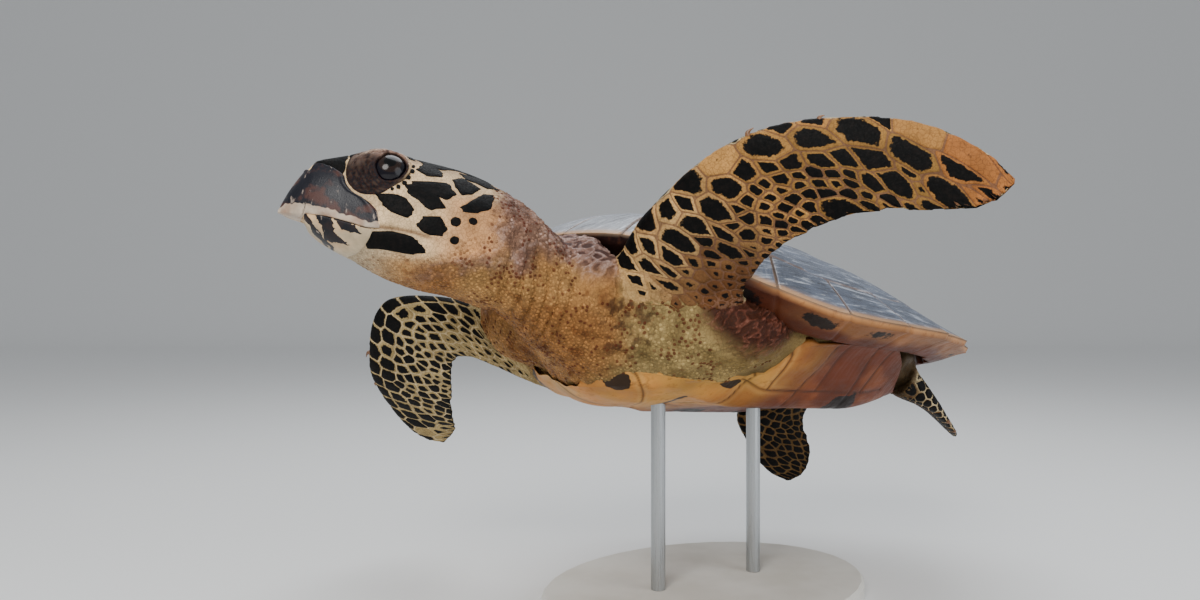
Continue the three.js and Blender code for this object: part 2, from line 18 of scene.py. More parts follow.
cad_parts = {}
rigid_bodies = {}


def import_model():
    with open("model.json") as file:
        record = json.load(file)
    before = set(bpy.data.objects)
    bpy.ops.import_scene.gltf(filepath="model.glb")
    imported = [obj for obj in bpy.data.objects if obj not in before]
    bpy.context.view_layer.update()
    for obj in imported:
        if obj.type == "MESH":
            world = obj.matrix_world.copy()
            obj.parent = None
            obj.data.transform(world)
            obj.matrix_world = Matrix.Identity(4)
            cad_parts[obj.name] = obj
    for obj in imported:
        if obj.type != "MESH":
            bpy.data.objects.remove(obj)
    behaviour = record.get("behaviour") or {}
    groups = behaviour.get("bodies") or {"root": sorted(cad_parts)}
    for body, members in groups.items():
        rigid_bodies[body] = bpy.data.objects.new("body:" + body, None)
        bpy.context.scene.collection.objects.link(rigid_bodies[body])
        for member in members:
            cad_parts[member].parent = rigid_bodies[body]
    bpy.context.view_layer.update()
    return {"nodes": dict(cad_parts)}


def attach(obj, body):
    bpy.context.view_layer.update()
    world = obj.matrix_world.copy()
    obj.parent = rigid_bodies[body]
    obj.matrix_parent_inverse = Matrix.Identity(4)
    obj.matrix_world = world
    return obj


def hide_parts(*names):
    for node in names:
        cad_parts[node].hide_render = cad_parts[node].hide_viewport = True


for thing in list(bpy.data.objects):
    bpy.data.objects.remove(thing)
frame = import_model()
random = np.random.default_rng(11)

# ---- Frames and small helpers ----


def rotation(axis, degrees):
    """A matrix that turns column vectors about one axis."""
    c, s = math.cos(math.radians(degrees)), math.sin(math.radians(degrees))
    i, j = {"X": (1, 2), "Y": (2, 0), "Z": (0, 1)}[axis]
    made = np.eye(3)
    made[i, i] = made[j, j] = c
    made[i, j], made[j, i] = -s, s
    return made


BODY = rotation("X", -4.2) @ rotation("Y", -7.7)
BODY_AT = np.array([0.0, 55.0, 240.0])
HEAD = rotation("Z", -12.5) @ rotation("X", -7.5) @ rotation("Y", 4)
HEAD_AT = np.array([44.0, -302.0, 62.0])
HEAD_LENGTH = 166.0
HEAD_AXIS = HEAD @ np.array([0.0, -1.0, 0.0])


def placed(points):
    """Body frame in millimetres to the part's frame in metres."""
    return (np.asarray(points, float) @ BODY.T + BODY_AT) / 1000


def in_body(points):
    """The part's frame in metres to the body frame in millimetres."""
    return (np.asarray(points, float) * 1000 - BODY_AT) @ BODY


def from_head(points):
    """The head's frame to the body frame, both in millimetres."""
    return np.asarray(points, float) @ HEAD.T + HEAD_AT


def in_head(points):
    return (np.asarray(points, float) - HEAD_AT) @ HEAD


def stack(*parts):
    return np.stack(np.broadcast_arrays(*[np.asarray(p, float) for p in parts]), -1)


def unit(vectors):
    return vectors / np.maximum(np.linalg.norm(vectors, axis=-1, keepdims=True), 1e-9)


def mix(a, b, t):
    return a + (b - a) * t


def smooth(a, b, x):
    """0 at a, 1 at b, with a soft start and end; a may be above b."""
    t = np.clip((np.asarray(x, float) - a) / (b - a), 0, 1)
    return t * t * (3 - 2 * t)


def bump(x, centre, width):
    """1 at the centre, falling to 0 on both sides."""
    return np.exp(-(((x - centre) / width) ** 2))


def power(x, exponent):
    """x to a power, keeping its sign."""
    return np.sign(x) * np.abs(x) ** exponent


def keyed(*keys):
    """A smooth value through (place, value) keys, by Hermite pieces with limited slopes."""
    x, y = np.array(keys, float).T
    step = np.diff(y) / np.diff(x)
    slope = np.zeros(len(x))
    same = step[:-1] * step[1:] > 0
    slope[1:-1][same] = 2 * step[:-1][same] * step[1:][same] / (step[:-1][same] + step[1:][same])

    def value(at):
        at = np.clip(at, x[0], x[-1])
        i = np.clip(np.searchsorted(x, at, side="right") - 1, 0, len(x) - 2)
        h = x[i + 1] - x[i]
        t = (at - x[i]) / h
        start = y[i] * (2 * t**3 - 3 * t**2 + 1) + slope[i] * h * (t**3 - 2 * t**2 + t)
        return start + y[i + 1] * (3 * t**2 - 2 * t**3) + slope[i + 1] * h * (t**3 - t**2)

    return value


def curve(places):
    """A centripetal Catmull-Rom curve through these places, as a function from 0..1 to points."""
    p = np.array(places, float)
    p = np.vstack([2 * p[0] - p[1], p, 2 * p[-1] - p[-2]])
    d = np.linalg.norm(np.diff(p, axis=0), axis=1) ** 0.5
    d[d < 1e-4] = 1
    count = len(places) - 1

    def point(u):
        at = np.clip(u, 0, 1) * count
        i = np.minimum(np.floor(at).astype(int), count - 1)
        t = (at - i)[..., None]
        a, b, c, e = (p[i + k] for k in range(4))
        da, db, dc = (d[i + k][..., None] for k in range(3))
        out = ((b - a) / da - (c - a) / (da + db) + (c - b) / db) * db
        into = ((c - b) / db - (e - b) / (db + dc) + (e - c) / dc) * db
        start = b * (2 * t**3 - 3 * t**2 + 1) + out * (t**3 - 2 * t**2 + t)
        return start + c * (3 * t**2 - 2 * t**3) + into * (t**3 - t**2)

    return point


def hashed(i, seed):
    """A steady value from -1 to 1 for each whole-numbered place (n, 3)."""
    n = (i[:, 0] * 374761393 + i[:, 1] * 668265263 + i[:, 2] * 1103515245 + seed * 974634777) & 0xFFFFFFFF
    n = ((n ^ (n >> 13)) * 1274126177) & 0xFFFFFFFF
    return ((n ^ (n >> 16)) & 0xFFFF) / 32767.5 - 1


def noise(points, scale, seed=0, octaves=3):
    """Smooth noise from about -1 to 1 over places (n, 3), with features about scale across."""
    total = np.zeros(len(points))
    for octave in range(octaves):
        p = np.asarray(points) / scale * 2**octave + 37.1 * octave
        i = np.floor(p).astype(np.int64)
        f = p - i
        f = f * f * (3 - 2 * f)
        value = 0
        for corner in np.ndindex(2, 2, 2):
            weight = np.prod([f[:, k] if corner[k] else 1 - f[:, k] for k in range(3)], axis=0)
            value = value + weight * hashed(i + np.array(corner), seed + octave)
        total += value / 2**octave
    return total


def colour(code):
    """An sRGB colour code as linear red, green and blue."""
    c = np.array([int(code[k : k + 2], 16) for k in (0, 2, 4)]) / 255
    return np.where(c <= 0.04045, c / 12.92, ((c + 0.055) / 1.055) ** 2.4)


# ---- Camera ----

camera = bpy.data.objects.new("camera", bpy.data.cameras.new("camera"))
bpy.context.scene.collection.objects.link(camera)
bpy.context.scene.camera = camera
camera.data.sensor_width = 36
camera.data.lens = 26.04
camera.location = (0.6913, -0.5111, 0.2908)
camera.rotation_mode = "QUATERNION"
camera.rotation_quaternion = Vector((-0.8706, 0.4913, 0)).to_track_quat("-Z", "Y")
camera.data.clip_start = 0.01

# ---- The forms, the same as the solids' ----

SHELL_LENGTH = 524
SHELL_SET_BACK = 13
SHELL_HALF_WIDTH = 194
SHELL_TOP = 113
SHELL_WIDEST = 0.46
LIP = 0.81


def half_width(t):
    """Half the shell's width at this share of its length from the front."""
    front = 1 - ((SHELL_WIDEST - np.minimum(t, SHELL_WIDEST)) / SHELL_WIDEST) ** 2.5
    rear = 1 - ((np.maximum(t, SHELL_WIDEST) - SHELL_WIDEST) / (1 - SHELL_WIDEST)) ** 1.85
    return SHELL_HALF_WIDTH * np.clip(front, 0, 1) ** 0.6 * np.clip(rear, 0, 1) ** 0.84


def rim_height(t):
    """The height of the shell's edge there."""
    arch = 19 * smooth(0.24, 0.04, t) + 8 * smooth(0.8, 1, t)
    return 67 * (1 - t) ** 2.2 + arch - 15 * smooth(0.13, 0.36, t) * smooth(0.8, 0.34, t)


MARGINALS = 12


def rim(turn):
    """The shell's edge, saw-toothed behind. turn runs once round from 0 at the front, left side first."""
    half = 1 - np.abs(1 - 2 * turn)
    t = (1 - np.cos(np.pi * half)) / 2
    side = np.where(turn < 0.5, 1, -1)
    out = stack(side * half_width(t), SHELL_LENGTH * (t - 0.5), 0)
    tooth = np.mod(half * MARGINALS, 1)
    saw = np.where(tooth < 0.9, tooth / 0.9, (1 - tooth) / 0.1)
    reach = smooth(0.35, 1, t) * (8.5 * saw**1.5 - 3)
    return out + unit(out) * reach[..., None] + stack(0, SHELL_SET_BACK, rim_height(t))


def carapace_top(rho, edge):
    """The carapace's upper surface on the lines from its middle to these places of its edge, out by rho."""
    x, y = edge[..., 0] * rho, edge[..., 1] * rho
    fullness = mix(3.15, 1.5, smooth(-240, 50, y)) - 0.75 * smooth(60, 220, y)
    dome = SHELL_TOP * (1 - rho**fullness)
    keel = 5 * bump(x, 0, 14) * smooth(-200, 60, y) * smooth(1, 0.8, rho)
    return stack(x, y, edge[..., 2] * rho**2 + dome + keel)


# Half the plastron's width (mm) by the share of its length from the front.
plastron_half_width = keyed(
    (0, 44), (0.04, 72), (0.1, 87), (0.2, 95), (0.3, 104), (0.4, 150), (0.6, 156), (0.7, 132), (0.79, 86),
    (0.93, 56), (1, 20),
)
PLASTRON_FRONT, PLASTRON_REAR = -222, 192


def plastron_under(s, across):
    """The plastron's under side, s from its front and across from side to side (-1 to 1)."""
    x = plastron_half_width(s) * across
    side = np.abs(x)
    ends = 28 * smooth(0.34, 0, s) + 36 * smooth(0.62, 1, s)
    bridge = 50 * smooth(78, 162, side)
    ridge = 2.5 * bump(side, 78, 18)
    return stack(x, mix(PLASTRON_FRONT, PLASTRON_REAR, s), -58 + ends + bridge - ridge)


# Half the trunk's width, and the heights of its top and its under side, from its front to its rear (mm).
trunk_half_width = keyed(
    (0, 76), (0.05, 108), (0.12, 132), (0.22, 144), (0.5, 152), (0.75, 122), (0.93, 70), (1, 30)
)
trunk_top = keyed((0, 40), (0.06, 58), (0.18, 68), (0.5, 82), (0.8, 52), (1, 6))
trunk_under = keyed((0, -22), (0.06, -42), (0.15, -50), (0.8, -50), (1, -26))


def trunk(u, v):
    """The trunk. Where the shell hides it all round, only a thin core is left."""
    slim = mix(1, 0.3, smooth(0.48, 0.56, u) * smooth(0.78, 0.7, u))
    middle = (trunk_top(u) + trunk_under(u)) / 2
    half = (trunk_top(u) - trunk_under(u)) / 2
    x = trunk_half_width(u) * power(np.sin(2 * np.pi * v), 0.8)
    z = half * power(np.cos(2 * np.pi * v), 0.8)
    return stack(x * slim, mix(-224, 186, u), middle + z * slim)


# The head's outlines by the share of its length from the neck (mm).
head_top = keyed(
    (0, 50), (0.1, 56), (0.2, 59), (0.35, 61), (0.5, 61), (0.62, 58.5), (0.73, 53.5), (0.81, 49.5),
    (0.87, 45.5), (0.9, 39.5), (0.935, 29.5), (0.967, 18), (0.988, 8), (1, 2),
)
head_under = keyed(
    (0, -46), (0.15, -42), (0.3, -41), (0.46, -37.5), (0.55, -32.5), (0.65, -26), (0.78, -18.5),
    (0.85, -11.5), (0.885, -4.5), (0.95, -3), (1, -1),
)
head_half_width = keyed(
    (0, 52), (0.15, 53), (0.3, 50.5), (0.45, 46.5), (0.6, 38), (0.72, 30), (0.82, 23.5), (0.9, 16.5),
    (0.96, 9.5), (1, 2.5),
)
EYE_AT = np.array([24.5, -0.545 * HEAD_LENGTH, 41.0])
EYE_RADIUS = 14.5
BROW_AT = np.array([30, -0.61 * HEAD_LENGTH, 50])


def head_frame(u, v):
    """The head's surface in the head's own frame."""
    up, out = np.cos(2 * np.pi * v), np.sin(2 * np.pi * v)
    height = np.where(up > 0, head_top(u), -head_under(u))
    square = np.where(up > 0, mix(0.95, 0.82, smooth(0.1, 0.5, u)), 0.95)
    z = height * power(up, square)
    narrow = 1 - 0.12 * smooth(20, 60, z) * smooth(0.95, 0.5, u)
    x = head_half_width(u) * narrow * power(out, 0.92)
    y = -u * HEAD_LENGTH
    brow = bump(np.linalg.norm(stack(np.abs(x), y, z) - BROW_AT, axis=-1), 0, 20)
    return stack(x + np.sign(x) * 4.5 * brow, y, z + 11 * brow)


def head(u, v):
    return from_head(head_frame(u, v))


NECK = np.array([(0, -120, -14), (14, -225, -30), HEAD_AT - 60 * HEAD_AXIS, HEAD_AT])
neck_half_width = keyed((0, 92), (0.35, 78), (0.7, 60), (1, 52))
neck_up = keyed((0, 44), (0.4, 44), (0.75, 42), (1, 50))
neck_down = keyed((0, 38), (0.4, 48), (0.75, 52), (1, 46))


def neck(u, v):
    """The neck, drawn in a little where it runs into the head."""
    u = np.asarray(u, float)[..., None]
    drawn_in = 1 - 0.05 * smooth(0.82, 1, u)
    weights = np.concatenate([(1 - u) ** 3, 3 * u * (1 - u) ** 2, 3 * u**2 * (1 - u), u**3], -1)
    left = unit(mix(np.array([1.0, 0, 0]), HEAD[:, 0], u))
    up = unit(mix(np.array([0, 0, 1.0]), HEAD[:, 2], u))
    c, s = np.cos(2 * np.pi * v)[..., None], np.sin(2 * np.pi * v)[..., None]
    high = np.where(c > 0, neck_up(u), neck_down(u))
    around = left * neck_half_width(u) * power(s, 0.93) + up * high * power(c, 0.93)
    return weights @ NECK + around * drawn_in


def tail(u, v):
    u, v = np.broadcast_arrays(np.asarray(u, float), v)
    middle = ((1 - u) ** 2)[..., None] * np.array([0, 150, -16])
    middle = middle + (2 * u * (1 - u))[..., None] * np.array([0, 200, -22])
    middle = middle + (u**2)[..., None] * np.array([2, 244, -26])
    radius = mix(24, 2.5, u**0.8)
    return middle + stack(radius * np.sin(2 * np.pi * v), 0, radius * 0.8 * np.cos(2 * np.pi * v))


def flipper(places, leads, half, thick):
    """A flipper along its middle line; v is 0 on the leading edge and a half on the trailing edge."""
    middle, lead_curve = curve(places), curve(leads)

    def point(u, v, least=0.0, inside=0.0):
        """Its surface, made at least so thick each way, or lying inside it by the coat's depth."""
        u, v = np.broadcast_arrays(np.asarray(u, float), np.asarray(v, float))
        along = unit(middle(np.minimum(u + 1e-4, 1)) - middle(np.maximum(u - 1e-4, 0)))
        lead = unit(lead_curve(u))
        normal = unit(np.cross(along, lead))
        across = np.cos(2 * np.pi * v)
        fullness = mix(0.34, 1, ((1 + across) / 2) ** 0.75)
        shape = power(np.sin(2 * np.pi * v), 0.8)
        height = np.maximum(thick(u) / 2 * fullness, least) * shape
        height = height - np.sign(height) * np.minimum(inside, 0.6 * np.abs(height))
        return middle(u) + lead * (half(u) * across)[..., None] + normal * height[..., None]

    return point


fore_half = keyed(
    (0, 54), (0.2, 52), (0.38, 46), (0.5, 46.5), (0.6, 46), (0.7, 41.5), (0.8, 36), (0.9, 26), (0.96, 15),
    (1, 3),
)
fore_thick = keyed((0, 62), (0.22, 44), (0.4, 25), (0.55, 17), (0.8, 11), (0.97, 7), (1, 4))
hind_half = keyed((0, 34), (0.33, 42), (0.66, 39), (0.85, 28), (0.95, 15), (1, 3))
hind_thick = keyed((0, 42), (0.35, 24), (0.6, 13), (0.9, 7), (1, 4))
FLIPPERS = {
    "fore_left": flipper(
        [(84, -156, -16), (124, -173, 40), (186, -169, 80), (247, -143, 100), (298, -93, 98), (345, -60, 79)],
        [(-0.4, -0.8, 0.45), (-0.35, -0.78, 0.52), (-0.28, -0.77, 0.57), (-0.35, -0.6, 0.7),
         (-0.18, -0.3, 0.94), (0, -0.1, 1)],
        fore_half,
        fore_thick,
    ),
    "fore_right": flipper(
        [(-80, -172, -14), (-110, -230, 8), (-146, -296, 20), (-196, -290, -26), (-240, -262, -62),
         (-276, -224, -92)],
        [(0.2, -0.8, 0.5), (-0.2, -0.6, 0.78), (-0.26, -0.75, 0.6), (-0.3, -0.9, 0.3), (-0.3, -0.93, 0.22),
         (-0.5, -0.8, -0.3)],
        fore_half,
        fore_thick,
    ),
    "hind_left": flipper(
        [(74, 128, -31), (67, 164, -46), (56, 205, -67), (42, 246, -87)],
        [(0.85, -0.5, -0.1), (0.82, -0.5, -0.2), (0.82, -0.5, -0.25), (0.82, -0.5, -0.25)],
        hind_half,
        hind_thick,
    ),
    "hind_right": flipper(
        [(-78, 132, -26), (-98, 108, -62), (-110, 132, -102), (-124, 154, -140)],
        [(-0.85, -0.5, -0.1), (-0.3, -0.95, 0), (-0.28, -0.95, 0), (-0.5, -0.85, 0)],
        hind_half,
        hind_thick,
    ),
}

# ---- Meshes ----


def grid_over(along, around):
    """Shares along and around for a loft's rings, the round ones without their repeated end."""
    return np.meshgrid(along, np.arange(around) / around, indexing="ij")


def ring_quads(rings, around, turned=False):
    """The quads between rings of points, facing the other way if turned."""
    i, j = np.meshgrid(np.arange(rings - 1), np.arange(around), indexing="ij")
    a, b = i * around + j, i * around + (j + 1) % around
    corners = [a, a + around, b + around, b] if turned else [a, b, b + around, a + around]
    return np.stack(corners, -1).reshape(-1, 4)


def nested_faces(rings, around):
    """Triangles between rings of points that lie one inside the other, closed by one point in the middle."""
    j = np.arange(around)
    k = (j + 1) % around
    faces = []
    for ring in range(rings - 1):
        a, b = ring * around, (ring + 1) * around
        faces += [np.stack([a + j, a + k, b + k], -1), np.stack([a + j, b + k, b + j], -1)]
    last = (rings - 1) * around
    faces.append(np.stack([last + j, last + k, np.full(around, rings * around)], -1))
    return np.vstack(faces)


def tube(point, along, around):
    """A loft's points (m) and quads, closed by a point at each end."""
    rings = placed(point(*grid_over(np.linspace(0, 1, along), around)))
    points = np.vstack([rings.reshape(-1, 3), rings[0].mean(0), rings[-1].mean(0)])
    j = np.arange(around)
    last = (along - 1) * around
    first = np.stack([np.full(around, along * around), (j + 1) % around, j], -1)
    final = np.stack([np.full(around, along * around + 1), last + j, last + (j + 1) % around], -1)
    return points, ring_quads(along, around), np.vstack([first, final])


def ball(centre, radii):
    """An ellipsoid as a loft."""

    def point(u, v):
        ring = np.sin(np.pi * np.clip(u, 0.002, 0.998))
        turned = stack(ring * np.sin(2 * np.pi * v), -np.cos(np.pi * u), ring * np.cos(2 * np.pi * v))
        return np.array(centre) + turned * np.array(radii)

    return point


def build_mesh(name, points, *groups):
    """A smooth-shaded mesh object from points and arrays of triangles or quads."""
    mesh = bpy.data.meshes.new(name)
    groups = [np.asarray(g, np.int32) for g in groups if len(g)]
    sizes = np.concatenate([np.full(len(g), g.shape[1], np.int32) for g in groups])
    corners = np.concatenate([g.ravel() for g in groups])
    mesh.vertices.add(len(points))
    mesh.vertices.foreach_set("co", np.asarray(points, np.float32).ravel())
    mesh.loops.add(len(corners))
    mesh.loops.foreach_set("vertex_index", corners)
    mesh.polygons.add(len(sizes))
    mesh.polygons.foreach_set("loop_start", np.concatenate([[0], np.cumsum(sizes)[:-1]]).astype(np.int32))
    mesh.update(calc_edges=True)
    mesh.validate()
    mesh.polygons.foreach_set("use_smooth", np.full(len(mesh.polygons), True))
    made = bpy.data.objects.new(name, mesh)
    bpy.context.scene.collection.objects.link(made)
    return made


def set_points(piece, **values_by_name):
    """Stores numbers or colours for each of the mesh's points, under their names."""
    for key, values in values_by_name.items():
        values = np.asarray(values, np.float32)
        if values.ndim == 2:
            layer = piece.data.attributes.new(key, "FLOAT_COLOR", "POINT")
            values = np.hstack([values, np.ones((len(values), 1), np.float32)])
            layer.data.foreach_set("color", values.ravel())
        else:
            piece.data.attributes.new(key, "FLOAT", "POINT").data.foreach_set("value", values)


def mesh_points(piece, key="co"):
    """The mesh's points (n, 3), or their normals."""
    found = np.empty(len(piece.data.vertices) * 3, np.float32)
    piece.data.vertices.foreach_get(key, found)
    return found.reshape(-1, 3).astype(float)


def finished(piece, material, slot, *replaced):
    """The piece with its material, its body, and the CAD nodes that it replaces. slot is not used."""
    piece.data.materials.clear()
    piece.data.materials.append(material)
    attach(piece, "root")
    if replaced:
        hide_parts(*replaced)
    return piece


# ---- The skin: the lofts of flesh melted together, just inside the solids ----

VOXEL = 0.0021
COAT = 0.0009
LEAST = 3.2


def padded_flipper(name):
    """A flipper kept thick enough for the grid; its skin is squeezed to its real thickness afterwards."""
    return lambda u, v: FLIPPERS[name](u, v, least=LEAST)


COLLAR_AT, COLLAR_RADII = (52, -232, 34), (56, 31, 49)
MIRROR = np.array([-1, 1, 1])
# Each form, its rings along, its points around, and how far it melts into the rest (m).
FLESH = {
    "head": (head, 90, 96, 0.012),
    "neck": (neck, 60, 96, 0.012),
    "trunk": (trunk, 90, 90, 0.012),
    "tail": (tail, 50, 40, 0.012),
    "fore_left": (padded_flipper("fore_left"), 150, 96, 0.012),
    "fore_right": (padded_flipper("fore_right"), 150, 96, 0.012),
    "hind_left": (padded_flipper("hind_left"), 80, 80, 0.012),
    "hind_right": (padded_flipper("hind_right"), 80, 80, 0.012),
    "collar_left": (ball(COLLAR_AT, COLLAR_RADII), 40, 40, 0.018),
    "collar_right": (ball(COLLAR_AT * MIRROR, COLLAR_RADII), 40, 40, 0.018),
    "armpit_left": (ball((130, -116, 0), (31, 37, 27)), 30, 30, 0.018),
    "armpit_right": (ball((-130, -116, 0), (31, 37, 27)), 30, 30, 0.018),
}


def melted(forms, voxel, band):
    """Distance to the forms on one grid, negative inside, their meetings rounded off."""
    grid_to_world = openvdb.createLinearTransform(voxel)
    made = [tube(*form[:3]) for form in forms]
    low = np.floor(np.min([m[0].min(0) for m in made], 0) / voxel).astype(int) - 10
    high = np.ceil(np.max([m[0].max(0) for m in made], 0) / voxel).astype(int) + 10
    far = band * voxel
    total = np.full(high - low, far, np.float32)
    for (points, quads, triangles), (*_, blend) in zip(made, forms):
        grid = openvdb.FloatGrid.createLevelSetFromPolygons(
            points.astype(np.float32),
            triangles=triangles.astype(np.uint32),
            quads=quads.astype(np.uint32),
            transform=grid_to_world,
            halfWidth=band,
        )
        start = np.floor(points.min(0) / voxel).astype(int) - 8
        stop = np.ceil(points.max(0) / voxel).astype(int) + 8
        block = np.zeros(stop - start, np.float32)
        grid.copyToArray(block, ijk=tuple(int(k) for k in start))
        where = tuple(slice(a, b) for a, b in zip(start - low, stop - low))
        other = total[where]
        h = np.maximum(blend - np.abs(block - other), 0)
        near = (block < far * 0.999) & (other < far * 0.999)
        total[where] = np.minimum(block, other) - np.where(near, h * h / (4 * blend), 0)
    return total, low, grid_to_world


def surface(total, low, grid_to_world, level, background):
    """The points and outward quads of the surface at this distance from the forms."""
    grid = openvdb.FloatGrid(float(background))
    grid.transform = grid_to_world
    grid.copyFromArray(total, ijk=tuple(int(k) for k in low))
    points, triangles, quads = grid.convertToPolygons(isovalue=level, adaptivity=0)
    quads = quads.astype(np.int64)
    points = points.astype(float)
    split = np.vstack([triangles.astype(np.int64).reshape(-1, 3), quads[:, [0, 1, 2]], quads[:, [0, 2, 3]]])
    volume = np.einsum("ij,ij->", np.cross(points[split[:, 0]], points[split[:, 1]]), points[split[:, 2]])
    if volume < 0:
        quads = quads[:, ::-1]
    return points, quads


def relaxed(points, quads, rounds, steps=(0.5, -0.5)):
    """The points evened out along the surface; the step back keeps it from shrinking much."""
    edges = np.vstack([quads[:, [0, 1]], quads[:, [1, 2]], quads[:, [2, 3]], quads[:, [3, 0]]])
    count = np.maximum(np.bincount(edges.ravel(), minlength=len(points)), 1)
    for _ in range(rounds):
        for weight in steps:
            total = np.zeros_like(points)
            for axis in range(3):
                total[:, axis] += np.bincount(edges[:, 0], points[edges[:, 1], axis], len(points))
                total[:, axis] += np.bincount(edges[:, 1], points[edges[:, 0], axis], len(points))
            points = points + weight * (total / count[:, None] - points)
    return points


BAND = 9  # how many grid steps each side of the surface are filled in
SOCKET = 0.0152  # the radius of the hollow left round each eye's middle (m)
total, low, grid_to_world = melted(list(FLESH.values()), VOXEL, BAND)
axes = [(np.arange(n) + low[k]) * VOXEL for k, n in enumerate(total.shape)]
for side in (1, -1):
    centre = placed(from_head(EYE_AT * np.array([side, 1, 1])))
    spot = [np.flatnonzero(np.abs(a - centre[k]) < 0.022) for k, a in enumerate(axes)]
    where = tuple(slice(s[0], s[-1] + 1) for s in spot)
    x, y, z = np.meshgrid(*[a[w] for a, w in zip(axes, where)], indexing="ij")
    gap = np.linalg.norm(np.stack([x, y, z], -1) - centre, axis=-1)
    total[where] = np.maximum(total[where], SOCKET - gap)
skin_points, skin_quads = surface(total, low, grid_to_world, -COAT, BAND * VOXEL)
del total


def tree_of(points):
    """A tree that finds the nearest of these points."""
    tree = KDTree(len(points))
    for i, point in enumerate(points):
        tree.insert(point, i)
    tree.balance()
    return tree


def nearest_forms(points):
    """The form nearest to each of these places, and how far along and around it they are."""
    tree_points, parts, us, vs = [], [], [], []
    for part, (point, along, around, _) in enumerate(FLESH.values()):
        u, v = grid_over(np.linspace(0, 1, along * 2), around * 2)
        tree_points.append(placed(point(u, v)).reshape(-1, 3))
        parts.append(np.full(u.size, part))
        us.append(u.ravel())
        vs.append(v.ravel())
    tree = tree_of(np.vstack(tree_points))
    found = np.array([tree.find(p)[1] for p in points])
    return np.concatenate(parts)[found], np.concatenate(us)[found], np.concatenate(vs)[found]


PARTS = list(FLESH)


def is_part(part, *names):
    """Which of these forms' numbers belong to the named forms."""
    return np.isin(part, [PARTS.index(name) for name in names])


skin_part, skin_u, skin_v = nearest_forms(skin_points)
for name in FLIPPERS:
    own = is_part(skin_part, name)
    u, v = skin_u[own], skin_v[own]
    real = placed(FLIPPERS[name](u, v, inside=COAT * 1000))
    padded = placed(FLIPPERS[name](u, v, least=LEAST, inside=COAT * 1000))
    skin_points[own] += (real - padded) * smooth(0.18, 0.36, u)[:, None]
evened = relaxed(skin_points, skin_quads, 4)
skin_points = np.where(is_part(skin_part, *FLIPPERS)[:, None], evened, mix(skin_points, evened, 0.6))
behind_head = bump(in_head(in_body(skin_points))[:, 1], 1, 13) * is_part(skin_part, "head", "neck")
skin_points = mix(skin_points, relaxed(skin_points, skin_quads, 40, (0.6,)), behind_head[:, None])


def refined(piece, chosen):
    """The piece's mesh with the edges between chosen points split in two."""
    made = bmesh.new()
    made.from_mesh(piece.data)
    made.verts.ensure_lookup_table()
    edges = [e for e in made.edges if chosen[e.verts[0].index] and chosen[e.verts[1].index]]
    bmesh.ops.subdivide_edges(made, edges=edges, cuts=1, use_grid_fill=True)
    made.to_mesh(piece.data)
    made.free()
    piece.data.polygons.foreach_set("use_smooth", np.full(len(piece.data.polygons), True))
    piece.data.update()
    return mesh_points(piece)


def curl_share(body):
    """Where the hide is curled into small worm-like wrinkles: over the shoulders and behind the arms."""
    side = np.abs(body[:, 0])
    place = stack(side, body[:, 1], body[:, 2])
    shoulder = np.linalg.norm((place - COLLAR_AT) / COLLAR_RADII, axis=1)
    behind_arm = np.linalg.norm((place - (134, -118, 8)) / (31, 37, 30), axis=1)
    shoulder = smooth(1.3, 1.08, shoulder) * smooth(2, 34, body[:, 2] + 0.25 * (body[:, 1] + 232))
    return np.maximum(shoulder, smooth(1.4, 1.1, behind_arm))


def curls(body):
    """Crests (1) and valleys (0) of the small wrinkles."""
    warped = body + 3.0 * stack(noise(body, 14, 61, 1), noise(body, 14, 62, 1), noise(body, 14, 63, 1))
    lain = warped @ rotation("X", 35) * (1, 0.5, 1)
    return 1 - np.clip(np.abs(noise(lain, 5.0, 64, 2)) * 2.4, 0, 1)


skin = build_mesh("skin", skin_points, skin_quads)
head_u = -in_head(in_body(skin_points))[:, 1] / HEAD_LENGTH
fine_part = is_part(skin_part, "head") & (head_u > -0.02)
skin_points = refined(skin, fine_part | (curl_share(in_body(skin_points)) > 0.05))
skin_part, skin_u, skin_v = nearest_forms(skin_points)
skin_normals = mesh_points(skin, "normal")

# ---- Folds, wrinkles and the line of the mouth ----

mouth_height = keyed(
    (0.29, -6.3), (0.36, -4.6), (0.42, -3.2), (0.53, -3), (0.6, -4.3), (0.67, -2.4), (0.75, -0.4),
    (0.82, 0.7), (1, 0.3),
)


def ridged(value):
    """Rounded ridges with sharp valleys between, from -1 to 1."""
    return 1 - 2 * np.abs(np.mod(value, 2) - 1) ** 1.6


def folds(points, part, u, v):
    """How far the skin is raised at these places (mm), from its folds and wrinkles."""
    body = in_body(points)
    inside_head = in_head(body)
    uneven = noise(body, 26, 3)
    raised = 0.5 * noise(body, 14, 5)
    on_neck = is_part(part, "neck")
    far_along = np.where(on_neck, u, 0)
    along_neck = far_along * 250
    strength = 2.1 * smooth(0.45, 0.8, far_along) * (0.6 + 0.4 * np.cos(4 * np.pi * v + 2))
    raised += np.where(on_neck, strength * ridged(along_neck / 7.5 + 0.9 * uneven), 0)
    loose = is_part(part, "collar_left", "collar_right", "trunk", "armpit_left", "armpit_right")
    loose = loose | (on_neck & (u < 0.5))
    wrinkled = ridged(noise(body @ rotation("Z", 25) * (1, 0.35, 1), 22, 9, 2) * 2.2)
    curled = curl_share(body)
    raised += np.where(loose, 1.1 * wrinkled * (1 - 0.6 * curled), 0)
    on_head = is_part(part, "head")
    raised += curled * (1.7 * curls(body) - 1.2) * ~on_head
    ahead = -inside_head[:, 1] / HEAD_LENGTH
    slit = bump(inside_head[:, 2] - mouth_height(ahead), 0, 1.5) * smooth(0.27, 0.36, ahead)
    raised += np.where(on_head, -1.7 * slit, 0)
    return np.where(is_part(part, *FLIPPERS), raised * mix(1, 0.25, smooth(0.1, 0.4, u)), raised)


